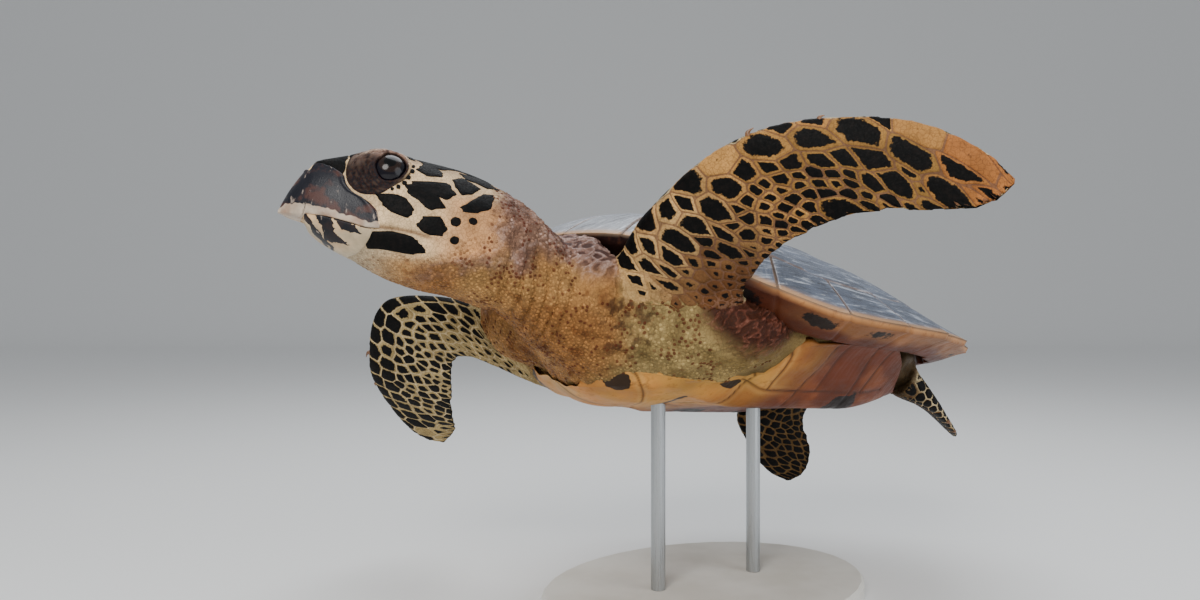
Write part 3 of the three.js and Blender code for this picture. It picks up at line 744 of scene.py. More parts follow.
raised = folds(skin_points, skin_part, skin_u, skin_v)
skin_points = skin_points + skin_normals * np.minimum(raised, 1.2)[:, None] / 1000
skin.data.vertices.foreach_set("co", skin_points.astype(np.float32).ravel())
skin.data.update()

# ---- Colours of the hide, the same for the skin and for the scales on it ----

CREAM = colour("d6b88e")
SEAM_ORANGE = colour("c0834e")
NECK_OCHRE = colour("9c6c3c")
NECK_GOLD = colour("ac8450")
NECK_DARK = colour("62300f")
KHAKI = colour("a08a58")
KHAKI_DARK = colour("6e5a32")
COLLAR = colour("7c625c")
COLLAR_CREST_HIGHLIGHT = colour("b49c94")
COLLAR_VALLEY_SHADE = colour("2e1c1c")
DARK_RED = colour("2e120d")
RED_SKIN_AND_CREST_LIGHT = colour("5a3024")
PINK_CREST_HIGHLIGHT = colour("8c6050")
THROAT = colour("a87c4a")
ARM_UNDER = colour("c29c66")
BLADE_UNDER = colour("b8874a")
BLADE_MIDDLE = colour("8f6a36")
TIP_ORANGE = colour("b06e3a")
ELBOW_BROWN = colour("5e3c20")
SEAM_BROWN = colour("6c4e3c")
UPPER_SEAM = colour("b8a680")
HIND_OCHRE = colour("6a5230")
HIND_SKIN = colour("3a3024")
PALE_UNDER = colour("b29c6c")
SEAM_CREAM = colour("c9b48c")
JAW_CREAM = colour("b5a284")
SEAM_TONES = {
    "fore_left": SEAM_BROWN,
    "fore_right": SEAM_CREAM,
    "hind_left": SEAM_CREAM,
    "hind_right": HIND_OCHRE,
}


def blended(points, pairs):
    """Colours one over another: each pair is a colour and how much of it covers what is below."""
    result = np.zeros((len(points), 3))
    for tone, share in pairs:
        share = np.broadcast_to(np.clip(share, 0, 1), len(points))[:, None]
        result = mix(result, tone, share)
    return result


# Which face of each flipper is the under side, as the sign of sin(2 pi v).
UNDER_FACE = {"fore_left": 1, "fore_right": -1, "hind_left": 1, "hind_right": -1}


def under_share(name, u, v):
    """1 on a flipper's under side, 0 on its upper side."""
    side = np.sin(2 * np.pi * v) * UNDER_FACE[name]
    return smooth(-0.1, 0.1, side)


def ball_share(body, centre, radii, inner=0.75, outer=1.15):
    """1 inside an ellipsoid on either side of the body, falling to 0 outside it."""
    place = stack(np.abs(body[:, 0]), body[:, 1], body[:, 2])
    return smooth(outer, inner, np.linalg.norm((place - np.array(centre)) / np.array(radii), axis=1))


def trunk_tint(points, body):
    """The neck, the shoulders and the soft parts between the shells."""
    patchy = noise(body, 30, 21, 3)
    spotty = noise(body, 13, 22, 3)
    fine = noise(body, 5, 23, 2)
    crest = curls(body)
    collar = ball_share(body, (66, -234, 62), (46, 36, 40), 0.7, 1.25)
    upper_neck = smooth(38, 62, body[:, 2] - 0.12 * (body[:, 1] + 260) + 10 * spotty)
    upper_neck = upper_neck * smooth(-205, -240, body[:, 1])
    beads = ball_share(body, (103, -212, 2), (30, 26, 34), 0.6, 1.2) * smooth(-0.1, 0.5, fine)
    behind_arm = ball_share(body, (140, -116, 18), (42, 44, 38), 0.85, 1.3)
    khaki = smooth(-230, -194, body[:, 1] + 9 * spotty)
    return blended(
        points,
        [
            (NECK_OCHRE, 1),
            (NECK_GOLD, 0.2 + 0.55 * patchy),
            (NECK_DARK, smooth(0.25, 0.8, spotty) * 0.55),
            (KHAKI, khaki * 0.95),
            (KHAKI_DARK, khaki * smooth(-0.1, 0.7, spotty) * 0.6),
            (KHAKI_DARK, smooth(-150, -90, body[:, 1]) * 0.55),
            (HIND_SKIN, smooth(-20, 60, body[:, 1]) * 0.85),
            (DARK_RED, beads * 0.75),
            (COLLAR, np.maximum(collar, 0.75 * upper_neck) * 0.9),
            # Over the collar's own purple-brown: paler on the wrinkles' crests and darker in their valleys,
            # as painted highlight and painted shade that follow the relief.
            (COLLAR_CREST_HIGHLIGHT, np.maximum(collar, 0.5 * upper_neck) * smooth(0.45, 1, crest) * 0.75),
            (COLLAR_VALLEY_SHADE, np.maximum(collar, 0.5 * upper_neck) * smooth(0.35, 0.0, crest) * 0.8),
            # Behind the arm: dark maroon skin. On the wrinkles' crests it turns lighter red, partly the
            # skin's own red and partly painted highlight, and pink on the highest crests as painted
            # highlight. The valleys keep the dark maroon as painted shade.
            (DARK_RED, behind_arm * 0.98),
            (RED_SKIN_AND_CREST_LIGHT, behind_arm * smooth(0.4, 0.9, crest) * 0.75),
            (PINK_CREST_HIGHLIGHT, behind_arm * smooth(0.9, 1.0, crest) * 0.45),
        ],
    )


def head_tint(points, inside_head, ahead, patchy, fine):
    """The head between its scutes: cream, browner behind and under the throat, and darker along the mouth as
    painted shade in its slit.
    """
    z = inside_head[:, 2]
    mouth = bump(z - mouth_height(ahead), 0, 1.3) * smooth(0.27, 0.36, ahead)
    return blended(
        points,
        [
            (CREAM, 1),
            (SEAM_ORANGE, smooth(0.4, 0.16, ahead) * smooth(40, 24, z) * 0.75 + 0.12 * patchy),
            (JAW_CREAM, smooth(-2, -8, z) * smooth(0.3, 0.6, ahead)),
            (THROAT, smooth(-16, -28, z) * smooth(0.62, 0.4, ahead) * 0.9),
            (NECK_DARK, smooth(-12, -30, z) * smooth(0.1, 0.6, fine) * smooth(0.68, 0.4, ahead) * 0.5),
            (COLLAR * 0.5, smooth(46, 60, z) * 0.6),
            # Painted shade along the mouth's slit.
            (colour("5a3620"), mouth * 0.75),
        ],
    )


def fore_under_tint(points, u, across, patchy, fine):
    """The under side of a fore flipper, by the share of the way along it and back from its leading edge."""
    return blended(
        points,
        [
            (ARM_UNDER, 1),
            (BLADE_UNDER, smooth(0.3, 0.5, u)),
            (BLADE_MIDDLE, smooth(0.46, 0.6, u) * smooth(0.12, 0.35, across)),
            (TIP_ORANGE, smooth(0.78, 0.93, u) * 0.9),
            (TIP_ORANGE, smooth(0.14, 0.0, across) * smooth(0.15, 0.4, u) * 0.7),
            (ELBOW_BROWN, smooth(0.32, 0.55, across) * smooth(0.52, 0.3, u) * (0.95 + 0.25 * patchy)),
            (DARK_RED, smooth(0.5, 0.9, across) * smooth(0.4, 0.15, u) * (0.35 + 0.5 * fine)),
            (ELBOW_BROWN, 0.08 + 0.2 * patchy),
        ],
    )


def tint_at(points, part, u, v, seams=False):
    """The hide's colour here, painted light and shade included, without the black of the scales; seams gives
    the one between them, darkened as painted shade between the granules.
    """
    body = in_body(points)
    patchy = noise(body, 30, 21, 3)
    fine = noise(body, 7, 31, 2)
    inside_head = in_head(body)
    ahead = -inside_head[:, 1] / HEAD_LENGTH
    on_head = smooth(-0.02, 0.12, ahead - 0.3 * smooth(-6, -30, inside_head[:, 2]) + 0.03 * fine)
    tint = head_tint(points, inside_head, ahead, patchy, fine)
    tint = mix(trunk_tint(points, body), tint, on_head[:, None])
    for name in FLIPPERS:
        below = under_share(name, u, v)
        across = 1 - np.abs(1 - 2 * np.mod(v, 1))
        if name == "fore_right":
            under = blended(points, [(PALE_UNDER, 1), (KHAKI_DARK, 0.2 + 0.5 * patchy)])
        elif name == "fore_left":
            under = fore_under_tint(points, u, across, patchy, fine)
        else:
            under = blended(points, [(HIND_OCHRE, 1), (ELBOW_BROWN, 0.3 + 0.4 * patchy)])
        if seams:
            under = mix(under, SEAM_TONES[name], (0.8 * smooth(0.12, 0.25, u))[:, None])
        made = mix(UPPER_SEAM, under, below[:, None])
        share = is_part(part, name) * smooth(0.02, 0.16, u + 0.05 * patchy)
        tint = mix(tint, made, share[:, None])
    if seams:
        # Where granules stand, the hide between them is darkened, except on curled skin: painted shade in the
        # gaps.
        granule_gap_shade = smooth(0.02, -0.04, ahead - 0.3 * smooth(-14, -24, inside_head[:, 2]))
        granule_gap_shade = granule_gap_shade * ~is_part(part, *FLIPPERS)
        tint = tint * (1 - 0.3 * granule_gap_shade * (1 - curl_share(body)))[:, None]
    return np.clip(tint * (1 + 0.12 * fine + 0.08 * patchy)[:, None], 0, 1)


def atlas(part, u, v):
    """Where a place on the forms lies on the unwrap of them all, four tiles across and three up."""
    across = (part % 4 + np.clip(u, 0.02, 0.98)) / 4
    up = (part // 4 + np.mod(v, 1) * 0.94 + 0.03) / 3
    return np.stack([across, up], -1)


# ---- Scales ----


class Skinned:
    """Finds places on the finished skin."""

    def __init__(self, piece):
        polygons = [list(p.vertices) for p in piece.data.polygons]
        self.tree = BVHTree.FromPolygons(mesh_points(piece).tolist(), polygons)

    def nearest(self, points):
        """The nearest places on it, and its normals there."""
        places, normals = np.empty(points.shape), np.empty(points.shape)
        for i, point in enumerate(points):
            places[i], normals[i], _, _ = self.tree.find_nearest(point)
        return places, normals

    def cast(self, starts, direction):
        """The first hits from these starts; where there is none, the nearest place."""
        places, normals = np.empty(starts.shape), np.empty(starts.shape)
        direction = Vector(direction)
        for i, start in enumerate(starts):
            place, normal, _, _ = self.tree.ray_cast(start, direction)
            if place is None:
                place, normal, _, _ = self.tree.find_nearest(Vector(start) + direction * 0.06)
            places[i], normals[i] = place, normal
        return places, normals


def resampled(outline, count, rounding=2):
    """A closed outline as this many points, its corners cut off so many times."""
    for _ in range(rounding):
        after = np.roll(outline, -1, 0)
        outline = np.stack([0.75 * outline + 0.25 * after, 0.25 * outline + 0.75 * after], 1).reshape(-1, 2)
    closed = np.vstack([outline, outline[:1]])
    along = np.concatenate([[0], np.cumsum(np.linalg.norm(np.diff(closed, axis=0), axis=1))])
    at = np.arange(count) / count * along[-1]
    return np.stack([np.interp(at, along, closed[:, k]) for k in (0, 1)], -1)


# Half the width of a scale's patch on the map named OFBake.
PATCH = 0.0015
# The rings of a scale: how far out from its middle, how high, and how near the middle for its black.
SMALL_SCALE = ((1, -0.4, 0), (0.9, 0.75, 0.2), (0.52, 1, 0.62))
LARGE_SCALE = ((1, -0.5, 0), (0.96, 0.5, 0.08), (0.88, 0.9, 0.24), (0.6, 1.02, 0.6), (0.3, 1.05, 0.85))


class Coat:
    """Many scales as one mesh. A profile lists each ring's reach, height and nearness to the middle."""

    def __init__(self):
        self.points, self.triangles, self.values, self.uvs, self.count = [], [], [], [], 0

    def add(self, outlines, centres, find, heights, tints, darks, roots, profile):
        """Adds outlines (scales, n, 2) round centres (scales, 2), laid on the skin by find()."""
        scales, n, _ = outlines.shape
        reach = np.array([ring[0] for ring in profile])
        up = np.array([ring[1] for ring in profile] + [1.06])
        core = np.array([ring[2] for ring in profile] + [1.0])
        spread = outlines - centres[:, None]
        rings = centres[:, None, None] + spread[:, None] * reach[None, :, None, None]
        flat = np.concatenate([rings.reshape(scales, -1, 2), centres[:, None]], 1)
        places, normals = find(flat.reshape(-1, 2))
        ring_of = np.concatenate([np.repeat(np.arange(len(profile)), n), [len(profile)]])
        level = up[ring_of][None] * heights[:, None]
        level = np.where(ring_of[None] == 0, -0.35, level)
        points = places.reshape(scales, -1, 3) + normals.reshape(scales, -1, 3) * level[..., None] / 1000
        each = flat.shape[1]
        made = nested_faces(len(profile), n)[None] + (np.arange(scales) * each)[:, None, None] + self.count
        corner = points[:, 0], points[:, n // 3], points[:, 2 * n // 3]
        facing = np.cross(corner[1] - corner[0], corner[2] - corner[0])
        outward = normals.reshape(scales, -1, 3)[:, -1]
        backwards = np.einsum("ij,ij->i", facing, outward) < 0
        made[backwards] = made[backwards][:, :, ::-1]
        size = np.abs(spread).max((1, 2))[:, None, None]
        uv = roots[:, None] + (flat - centres[:, None]) / size * PATCH
        self.points.append(points.reshape(-1, 3))
        self.triangles.append(made.reshape(-1, 3))
        self.uvs.append(uv.reshape(-1, 2))
        shade = np.empty((scales, each, 5))
        shade[..., :3] = tints[:, None]
        shade[..., 3] = darks[:, None]
        shade[..., 4] = core[ring_of][None]
        self.values.append(shade.reshape(-1, 5))
        self.count += scales * each

    def piece(self, name):
        values = np.vstack(self.values)
        made = build_mesh(name, np.vstack(self.points), np.vstack(self.triangles))
        set_points(made, tint=values[:, :3], dark=values[:, 3], core=values[:, 4])
        lay_patches(made, np.vstack(self.uvs))
        print(name, len(made.data.polygons), "triangles", flush=True)
        return finished(made, hide, "scaled_skin")


def lay_patches(piece, uvs):
    """Gives the piece the map named OFBake, from one place for each of its points."""
    corner = np.empty(len(piece.data.loops), np.int32)
    piece.data.loops.foreach_get("vertex_index", corner)
    layer = piece.data.uv_layers.new(name="OFBake")
    layer.data.foreach_set("uv", uvs[corner].astype(np.float32).ravel())


def clipped(polygon, normal, limit):
    """The part of a convex polygon where normal . p <= limit."""
    result = []
    for a, b in zip(polygon, polygon[1:] + polygon[:1]):
        da = normal[0] * a[0] + normal[1] * a[1] - limit
        db = normal[0] * b[0] + normal[1] * b[1] - limit
        if da <= 0:
            result.append(a)
        if (da < 0 < db) or (db < 0 < da):
            t = da / (da - db)
            result.append((a[0] + t * (b[0] - a[0]), a[1] + t * (b[1] - a[1])))
    return result


def cells(seeds, radii, stretch, gap, wanted, count=12):
    """The wanted seeds' cells between their neighbours, in from the seams, as outlines of count points.

    A cell is stretched by this much across and narrowed as much along.
    """
    outlines, kept = [], []
    for i in wanted:
        seed = seeds[i]
        shared = np.sqrt(stretch * stretch[i])
        pulls = np.stack([shared, 1 / shared], -1)
        offset = (seeds - seed) * pulls
        distance = np.hypot(*offset.T)
        near = np.argsort(distance)[1:19]
        near = near[distance[near] < 7 * radii[i]]
        reach = 2.8 * radii[i]
        pull = stretch[i]
        turns = np.arange(8) * math.pi / 4 + 0.2
        polygon = [(reach * math.cos(a) / pull, reach * math.sin(a) * pull) for a in turns]
        for k in near:
            length = distance[k]
            if length < 1e-6:
                continue
            share = (length**2 + radii[i] ** 2 - radii[k] ** 2) / (2 * length)
            normal = offset[k] / length * pulls[k]
            polygon = clipped(polygon, normal, share - gap / 2 * np.hypot(*normal))
            if len(polygon) < 3:
                break
        if len(polygon) < 3:
            continue
        outlines.append(resampled(np.array(polygon), count, 0) + seed)
        kept.append(i)
    return np.array(outlines), np.array(kept)


def scattered(candidates, radii, stretch, fixed, fixed_radii, fixed_stretch):
    """Picks from the candidates so that none crowds another, after the fixed ones."""
    taken = np.empty((len(candidates) + len(fixed), 3))
    taken[: len(fixed), :2] = fixed
    taken[: len(fixed), 2] = fixed_radii
    count = len(fixed)
    kept_stretch = list(fixed_stretch)
    for place, radius, pull in zip(candidates, radii, stretch):
        offset = (taken[:count, :2] - place) * (pull, 1 / pull)
        apart = np.hypot(offset[:, 0], offset[:, 1])
        if count == 0 or np.all(apart > 0.86 * (taken[:count, 2] + radius)):
            taken[count] = (*place, radius)
            count += 1
            kept_stretch.append(pull)
    return taken[:count, :2], taken[:count, 2], np.array(kept_stretch)


class Limb:
    """A flipper's surface laid out flat: mm along its middle line, and mm around from its leading edge."""

    def __init__(self, name):
        self.name = name
        self.point = FLIPPERS[name]
        self.u = np.linspace(0, 1, 161)
        middle = (self.point(self.u, 0.0) + self.point(self.u, 0.5)) / 2
        self.along = np.concatenate([[0], np.cumsum(np.linalg.norm(np.diff(middle, axis=0), axis=1))])
        self.length = self.along[-1]
        self.half, self.table = {}, {}
        v = np.linspace(0, 0.5, 120)
        self.share = np.linspace(0, 1, 65)
        for sign in (1, -1):
            rings = self.point(self.u[:, None], sign * v[None])
            steps = np.linalg.norm(np.diff(rings, axis=1), axis=2)
            arc = np.concatenate([np.zeros((161, 1)), np.cumsum(steps, 1)], 1)
            self.half[sign] = arc[:, -1]
            self.table[sign] = np.array([np.interp(self.share, row / row[-1], v) for row in arc])

    def half_at(self, l, sign):
        return np.interp(l, self.along, self.half[sign])

    def locate(self, l, q):
        """(u, v) of these places, v below 0 on the second face."""
        u = np.interp(l, self.along, self.u)
        at = np.clip(u * 160, 0, 159.999)
        i = at.astype(int)
        t = at - i
        v = np.zeros(len(l))
        for sign in (1, -1):
            share = np.clip(np.abs(q) / np.maximum(self.half_at(l, sign), 1e-6), 0, 1) * 64
            j = np.minimum(share.astype(int), 63)
            s = share - j
            table = self.table[sign]
            value = mix(mix(table[i, j], table[i, j + 1], s), mix(table[i + 1, j], table[i + 1, j + 1], s), t)
            v = np.where(np.sign(q + 1e-9) == sign, sign * value, v)
        return u, v

    def find(self, flat):
        """Places on the skin for places on the layout, kept off the trailing edge."""
        l, q = flat.T
        for sign in (1, -1):
            edge = self.half_at(l, sign) - 0.3
            q = np.where(np.sign(q) == sign, sign * np.minimum(np.abs(q), edge), q)
        u, v = self.locate(np.clip(l, 0, self.length - 0.3), q)
        return skinned.nearest(placed(self.point(u, v)))


skinned = Skinned(skin)


def fore_scale_size(a, f, below):
    """Half a fore flipper scale's width (mm), a of the way along it and f of the way to its hind edge."""
    lead = mix(8.2, 6.6, smooth(0.5, 0.95, a))
    middle = mix(5.4, 5.0, smooth(0.3, 0.5, a)) + 2.4 * smooth(0.66, 0.95, a)
    hind_edge = mix(4.6, 6.2, smooth(0.55, 0.9, a))
    size = mix(lead, middle, smooth(0.22, 0.42, f))
    size = mix(size, hind_edge, smooth(0.75, 0.9, f))
    size = mix(3.4, size, smooth(0.1, 0.24, a))
    return np.where(below, size, size * 1.1)


def hind_scale_size(a, f, below):
    size = mix(6.2, 4.6, smooth(0.2, 0.5, f))
    return mix(3, size, smooth(0.12, 0.3, a))


def fore_dark(a, f, below, wild):
    """How far black covers a fore flipper's scales, from 0 to 1."""
    arm = mix(0.56, 0.3, smooth(0.4, 0.7, f)) * smooth(0.12, 0.26, a)
    blade = mix(0.66, 0.62, smooth(0.2, 0.45, f)) + 0.1 * smooth(0.8, 0.95, f)
    under = mix(arm, blade, smooth(0.36, 0.5, a)) - 0.3 * smooth(0.84, 0.92, a) + 0.16 * wild
    return np.where(below, under, mix(0.4, 0.82, smooth(0.08, 0.25, a)) + 0.06 * wild)


def fore_right_dark(a, f, below, wild):
    lead = smooth(0.2, 0.12, f)
    return mix(fore_dark(a, f, below, wild) + 0.04, 0.84, lead) * smooth(0.08, 0.2, a)


def hind_dark(a, f, below, wild):
    return np.where(below, 0.82, 0.88) * smooth(0.0, 0.15, a) + 0.08 * wild


# The larger scales under a fore flipper: mm along it, mm back from its leading edge, half the scale's width
# in mm, how far it is stretched across, and how far black covers it.
LARGE_UNDER = [
    (20, 8, 6.5, 1.2, 0.7), (34, 14, 6.5, 1.2, 0.66), (30, 34, 6.5, 1.5, 0.4), (48, 18, 7, 1.2, 0.66),
    (58, 30, 7, 1.7, 0.5), (64, 14, 8, 1.3, 0.72), (79, 9, 9, 1.2, 0.72), (102, 5, 11, 1.0, 0.7),
    (122, 15, 9, 1.0, 0.5), (147, 8, 12, 1.0, 0.68), (174, 9, 13, 1.0, 0.0), (205, 16, 14, 1.1, 0.6),
    (232, 20, 12, 0.95, 0.62), (260, 16, 15, 0.9, 0.66), (283, 31, 14, 1.25, 0.72), (296, 9, 15, 0.8, 0.0),
    (322, 13, 15, 0.75, 0.0), (312, 31, 11, 0.65, 0.66), (298, 57, 15, 0.75, 0.8), (326, 34, 8, 0.6, 0.4),
    (70, 56, 7, 2.0, 0.45), (75, 36, 8, 1.6, 0.55), (80, 50, 6, 2.0, 0.5), (89, 25, 7, 1.5, 0.55),
    (92, 46, 9, 1.75, 0.62), (107, 40, 11, 1.75, 0.68), (125, 38, 10.5, 1.6, 0.66), (144, 38, 12, 1.5, 0.68),
    (164, 31, 12, 1.15, 0.68), (181, 27, 9.5, 1.05, 0.66), (122, 73, 9, 1.9, 0.66), (131, 57, 7, 1.6, 0.58),
    (142, 56, 6.5, 1.7, 0.56), (142, 70, 6.5, 1.3, 0.62), (165, 46, 7, 1.2, 0.6), (195, 45, 7, 1.2, 0.6),
    (196, 33, 8, 1.1, 0.6), (208, 36, 8, 1.0, 0.64), (226, 41, 8.5, 1.0, 0.66), (239, 40, 9, 1.0, 0.7),
    (256, 40, 11, 1.0, 0.74), (262, 59, 12, 1.0, 0.78), (207, 88, 15, 1.0, 0.76), (244, 62, 8, 1.2, 0.7),
    (280, 74, 9, 0.9, 0.6),
]


def edge_rows(limb, rows, signs):
    """Seeds in rows beside the leading edge, each row with its distance from it, its pitch and its start."""
    seeds, radii = [], []
    for q, pitch, start in rows:
        count = int((limb.length * 0.95 - start) / pitch)
        for sign in signs:
            for i in range(count):
                l = start + (i + 0.5 * (sign < 0)) * pitch + random.normal() * 0.6
                shrink = mix(1, 0.55, smooth(0.75, 1, l / limb.length))
                if q * shrink < limb.half_at(l, sign) * 0.6:
                    seeds.append((l, sign * q * shrink))
                    radii.append(min(pitch / 2, q * shrink) * 1.05)
    return seeds, radii


def scale_limb(name, size_at, dark_at, rows, start, large=()):
    """Covers a flipper with scales that fit together, the given large ones first.

    size_at and dark_at give the others' size and how far black covers them. The scales begin at start.
    """
    limb = Limb(name)
    coat = Coat()
    under = UNDER_FACE[name]
    seeds, radii = edge_rows(limb, rows, (-under,) if large else (1, -1))
    seeds = np.array([(l, q * under) for l, q, *_ in large] + seeds)
    radii = np.array([entry[2] for entry in large] + radii)
    fixed_stretch = np.concatenate([[entry[3] for entry in large], np.ones(len(seeds) - len(large))])
    l = random.uniform(start, limb.length, 26000)
    q = random.uniform(-1, 1, 26000)
    sign = np.where(q < 0, -1, 1)
    half = np.where(sign > 0, limb.half_at(l, 1), limb.half_at(l, -1))
    widest = half.max()
    fits = np.abs(q) * widest < half - 1.5
    l, q, sign, half = l[fits], q[fits] * widest, sign[fits], half[fits]
    radius = size_at(l / limb.length, np.abs(q) / half, sign == under)
    stretch = mix(1.2, 1.05, smooth(0.3, 0.6, l / limb.length))
    seeds, radii, stretch = scattered(np.stack([l, q], -1), radius, stretch, seeds, radii, fixed_stretch)
    wild = random.normal(size=len(seeds))
    half = np.where(seeds[:, 1] > 0, limb.half_at(seeds[:, 0], 1), limb.half_at(seeds[:, 0], -1))
    on_under = np.sign(seeds[:, 1]) == under
    darks = dark_at(seeds[:, 0] / limb.length, np.abs(seeds[:, 1]) / half, on_under, wild)
    darks[: len(large)] = [entry[4] - 0.03 for entry in large]
    places = placed(limb.point(*limb.locate(seeds[:, 0], seeds[:, 1])))
    showing = np.linalg.norm(skinned.nearest(places)[0] - places, axis=1) < 0.0045
    big = radii >= 6.4
    for chosen, count, profile in ((big & showing, 28, LARGE_SCALE), (~big & showing, 12, SMALL_SCALE)):
        if not chosen.any():
            continue
        outlines, kept = cells(seeds, radii, stretch, 0.7, np.flatnonzero(chosen), count)
        own = seeds[kept]
        u, v = limb.locate(own[:, 0], own[:, 1])
        v = np.mod(v, 1)
        part = np.full(len(own), PARTS.index(name))
        tints = tint_at(placed(limb.point(u, v)), part, u, v)
        heights = 0.35 + 0.03 * radii[kept]
        coat.add(outlines, own, limb.find, heights, tints, darks[kept], atlas(part, u, v), profile)
    return coat.piece("scales_" + name)


# ---- Materials ----


class Shade:
    """A node material under construction. Numbers set sockets; other values are linked to them."""

    def __init__(self, name):
        self.material = bpy.data.materials.new(name)
        self.material.use_nodes = True
        self.nodes = self.material.node_tree.nodes
        self.link = self.material.node_tree.links.new
        self.shader = self.nodes["Principled BSDF"]
        self.place = self.nodes.new("ShaderNodeTexCoord").outputs["Object"]

    def plug(self, socket, value):
        """Links another socket, or sets a number, a vector or a colour."""
        if isinstance(value, bpy.types.NodeSocket):
            self.link(value, socket)
        elif isinstance(value, (int, float)):
            socket.default_value = value
        else:
            socket.default_value = (*value, 1) if len(socket.default_value) == 4 else tuple(value)

    def node(self, kind, inputs=(), output=0, **settings):
        made = self.nodes.new(kind)
        for key, value in settings.items():
            setattr(made, key, value)
        for key, value in dict(inputs).items():
            self.plug(made.inputs[key], value)
        return made.outputs[output]

    def point(self, name, output="Fac"):
        return self.node("ShaderNodeAttribute", attribute_name=name, output=output)

    def noise(self, scale, detail=3, rough=0.55, place=None, distortion=0.0):
        inputs = {"Vector": place or self.place, "Scale": scale, "Detail": detail, "Roughness": rough}
        return self.node("ShaderNodeTexNoise", {**inputs, "Distortion": distortion}, output="Fac")

    def cells(self, scale, feature="F1"):
        inputs = {"Vector": self.place, "Scale": scale}
        return self.node("ShaderNodeTexVoronoi", inputs, feature=feature, output="Distance")

    def maths(self, operation, a, b=0.0):
        return self.node("ShaderNodeMath", {0: a, 1: b}, operation=operation)

    def plus(self, a, b, share):
        """a and a share of b."""
        return self.maths("ADD", a, self.maths("MULTIPLY", b, share))

    def between(self, value, low, high, out_low=0.0, out_high=1.0):
        inputs = {"Value": value, "From Min": low, "From Max": high, "To Min": out_low, "To Max": out_high}
        return self.node("ShaderNodeMapRange", inputs, interpolation_type="SMOOTHSTEP")

    def mixed(self, share, a, b):
        """Colour b over colour a. The node keeps its colour sockets after those for numbers and vectors."""
        return self.node("ShaderNodeMix", {"Factor": share, 6: a, 7: b}, output=2, data_type="RGBA")

    def brightened(self, tone, amount):
        """The colour times a number that varies over the surface."""
        return self.node("ShaderNodeVectorMath", {0: tone, "Scale": amount}, operation="SCALE")

    def stretched(self, scale, turn=(0, 0, 0)):
        inputs = {"Vector": self.place, "Scale": scale, "Rotation": turn}
        return self.node("ShaderNodeMapping", inputs)

    def finish(self, tone, roughness, height=None, distance=0.0004, strength=1.0, coat=0.0, specular=0.5):
        self.plug(self.shader.inputs["Base Color"], tone)
        self.plug(self.shader.inputs["Roughness"], roughness)
        self.shader.inputs["Specular IOR Level"].default_value = specular
        self.shader.inputs["Coat Weight"].default_value = coat
        self.shader.inputs["Coat Roughness"].default_value = 0.25
        if height is not None:
            inputs = {"Height": height, "Distance": distance, "Strength": strength}
            self.link(self.node("ShaderNodeBump", inputs), self.shader.inputs["Normal"])
        return self.material


def hide_material():
    """Scaly hide: the tint stored on each point, black in the middle of the scales, a fine grain, and painted
    shade along a net of fine creases.
    """
    s = Shade("hide")
    blot = s.noise(260, 4, 0.65)
    broad = s.noise(60, 3)
    fine = s.noise(900, 3)
    core = s.plus(s.point("core"), s.maths("SUBTRACT", blot, 0.5), 0.8)
    edge = s.maths("SUBTRACT", 1.0, s.point("dark"))
    black = s.between(s.maths("SUBTRACT", core, edge), -0.05, 0.07)
    grain = s.cells(430)
    crease = s.cells(300, "DISTANCE_TO_EDGE")
    tone = s.brightened(s.point("tint", "Color"), s.between(broad, 0.25, 0.75, 0.78, 1.22))
    tone = s.mixed(s.between(fine, 0.45, 0.7, 0, 0.3), tone, colour("5a3018"))
    # Darker along the edges of a net of cells: painted shade of fine creases, which have no relief here.
    tone = s.mixed(s.between(crease, 0.1, 0.0, 0, 0.35), tone, colour("3a2418"))
    dark_tone = s.mixed(s.between(blot, 0.4, 0.75), colour("030303"), colour("120d0b"))
    tone = s.mixed(black, tone, dark_tone)
    rough = s.between(fine, 0.3, 0.7, 0.5, 0.68)
    bump = s.plus(s.maths("MULTIPLY", grain, -0.5), fine, 0.6)
    return s.finish(tone, rough, bump, 0.0005, 0.7, specular=0.1)


hide = hide_material()
SPECK_RED = colour("4e2010")


GRANULE_HEIGHT = 0.34
GRANULE_CORNERS = 7


def uncrowded(places, pitch):
    """Which of the places to keep, in order, so that none is nearer than the pitch to one kept before."""
    neighbours = [np.array(step) - 1 for step in np.ndindex(3, 3, 3)]
    neighbours = [tuple(int(n) for n in step) for step in neighbours]
    taken, chosen = {}, []
    grid = np.floor(places / pitch.max()).astype(int)
    for i, (key, place, apart) in enumerate(zip(map(tuple, grid.tolist()), places.tolist(), pitch.tolist())):
        x, y, z = place
        limit = apart * apart
        if not any(
            (x - other[0]) ** 2 + (y - other[1]) ** 2 + (z - other[2]) ** 2 < limit
            for dx, dy, dz in neighbours
            for other in taken.get((key[0] + dx, key[1] + dy, key[2] + dz), ())
        ):
            taken.setdefault(key, []).append(place)
            chosen.append(i)
    return np.array(chosen)


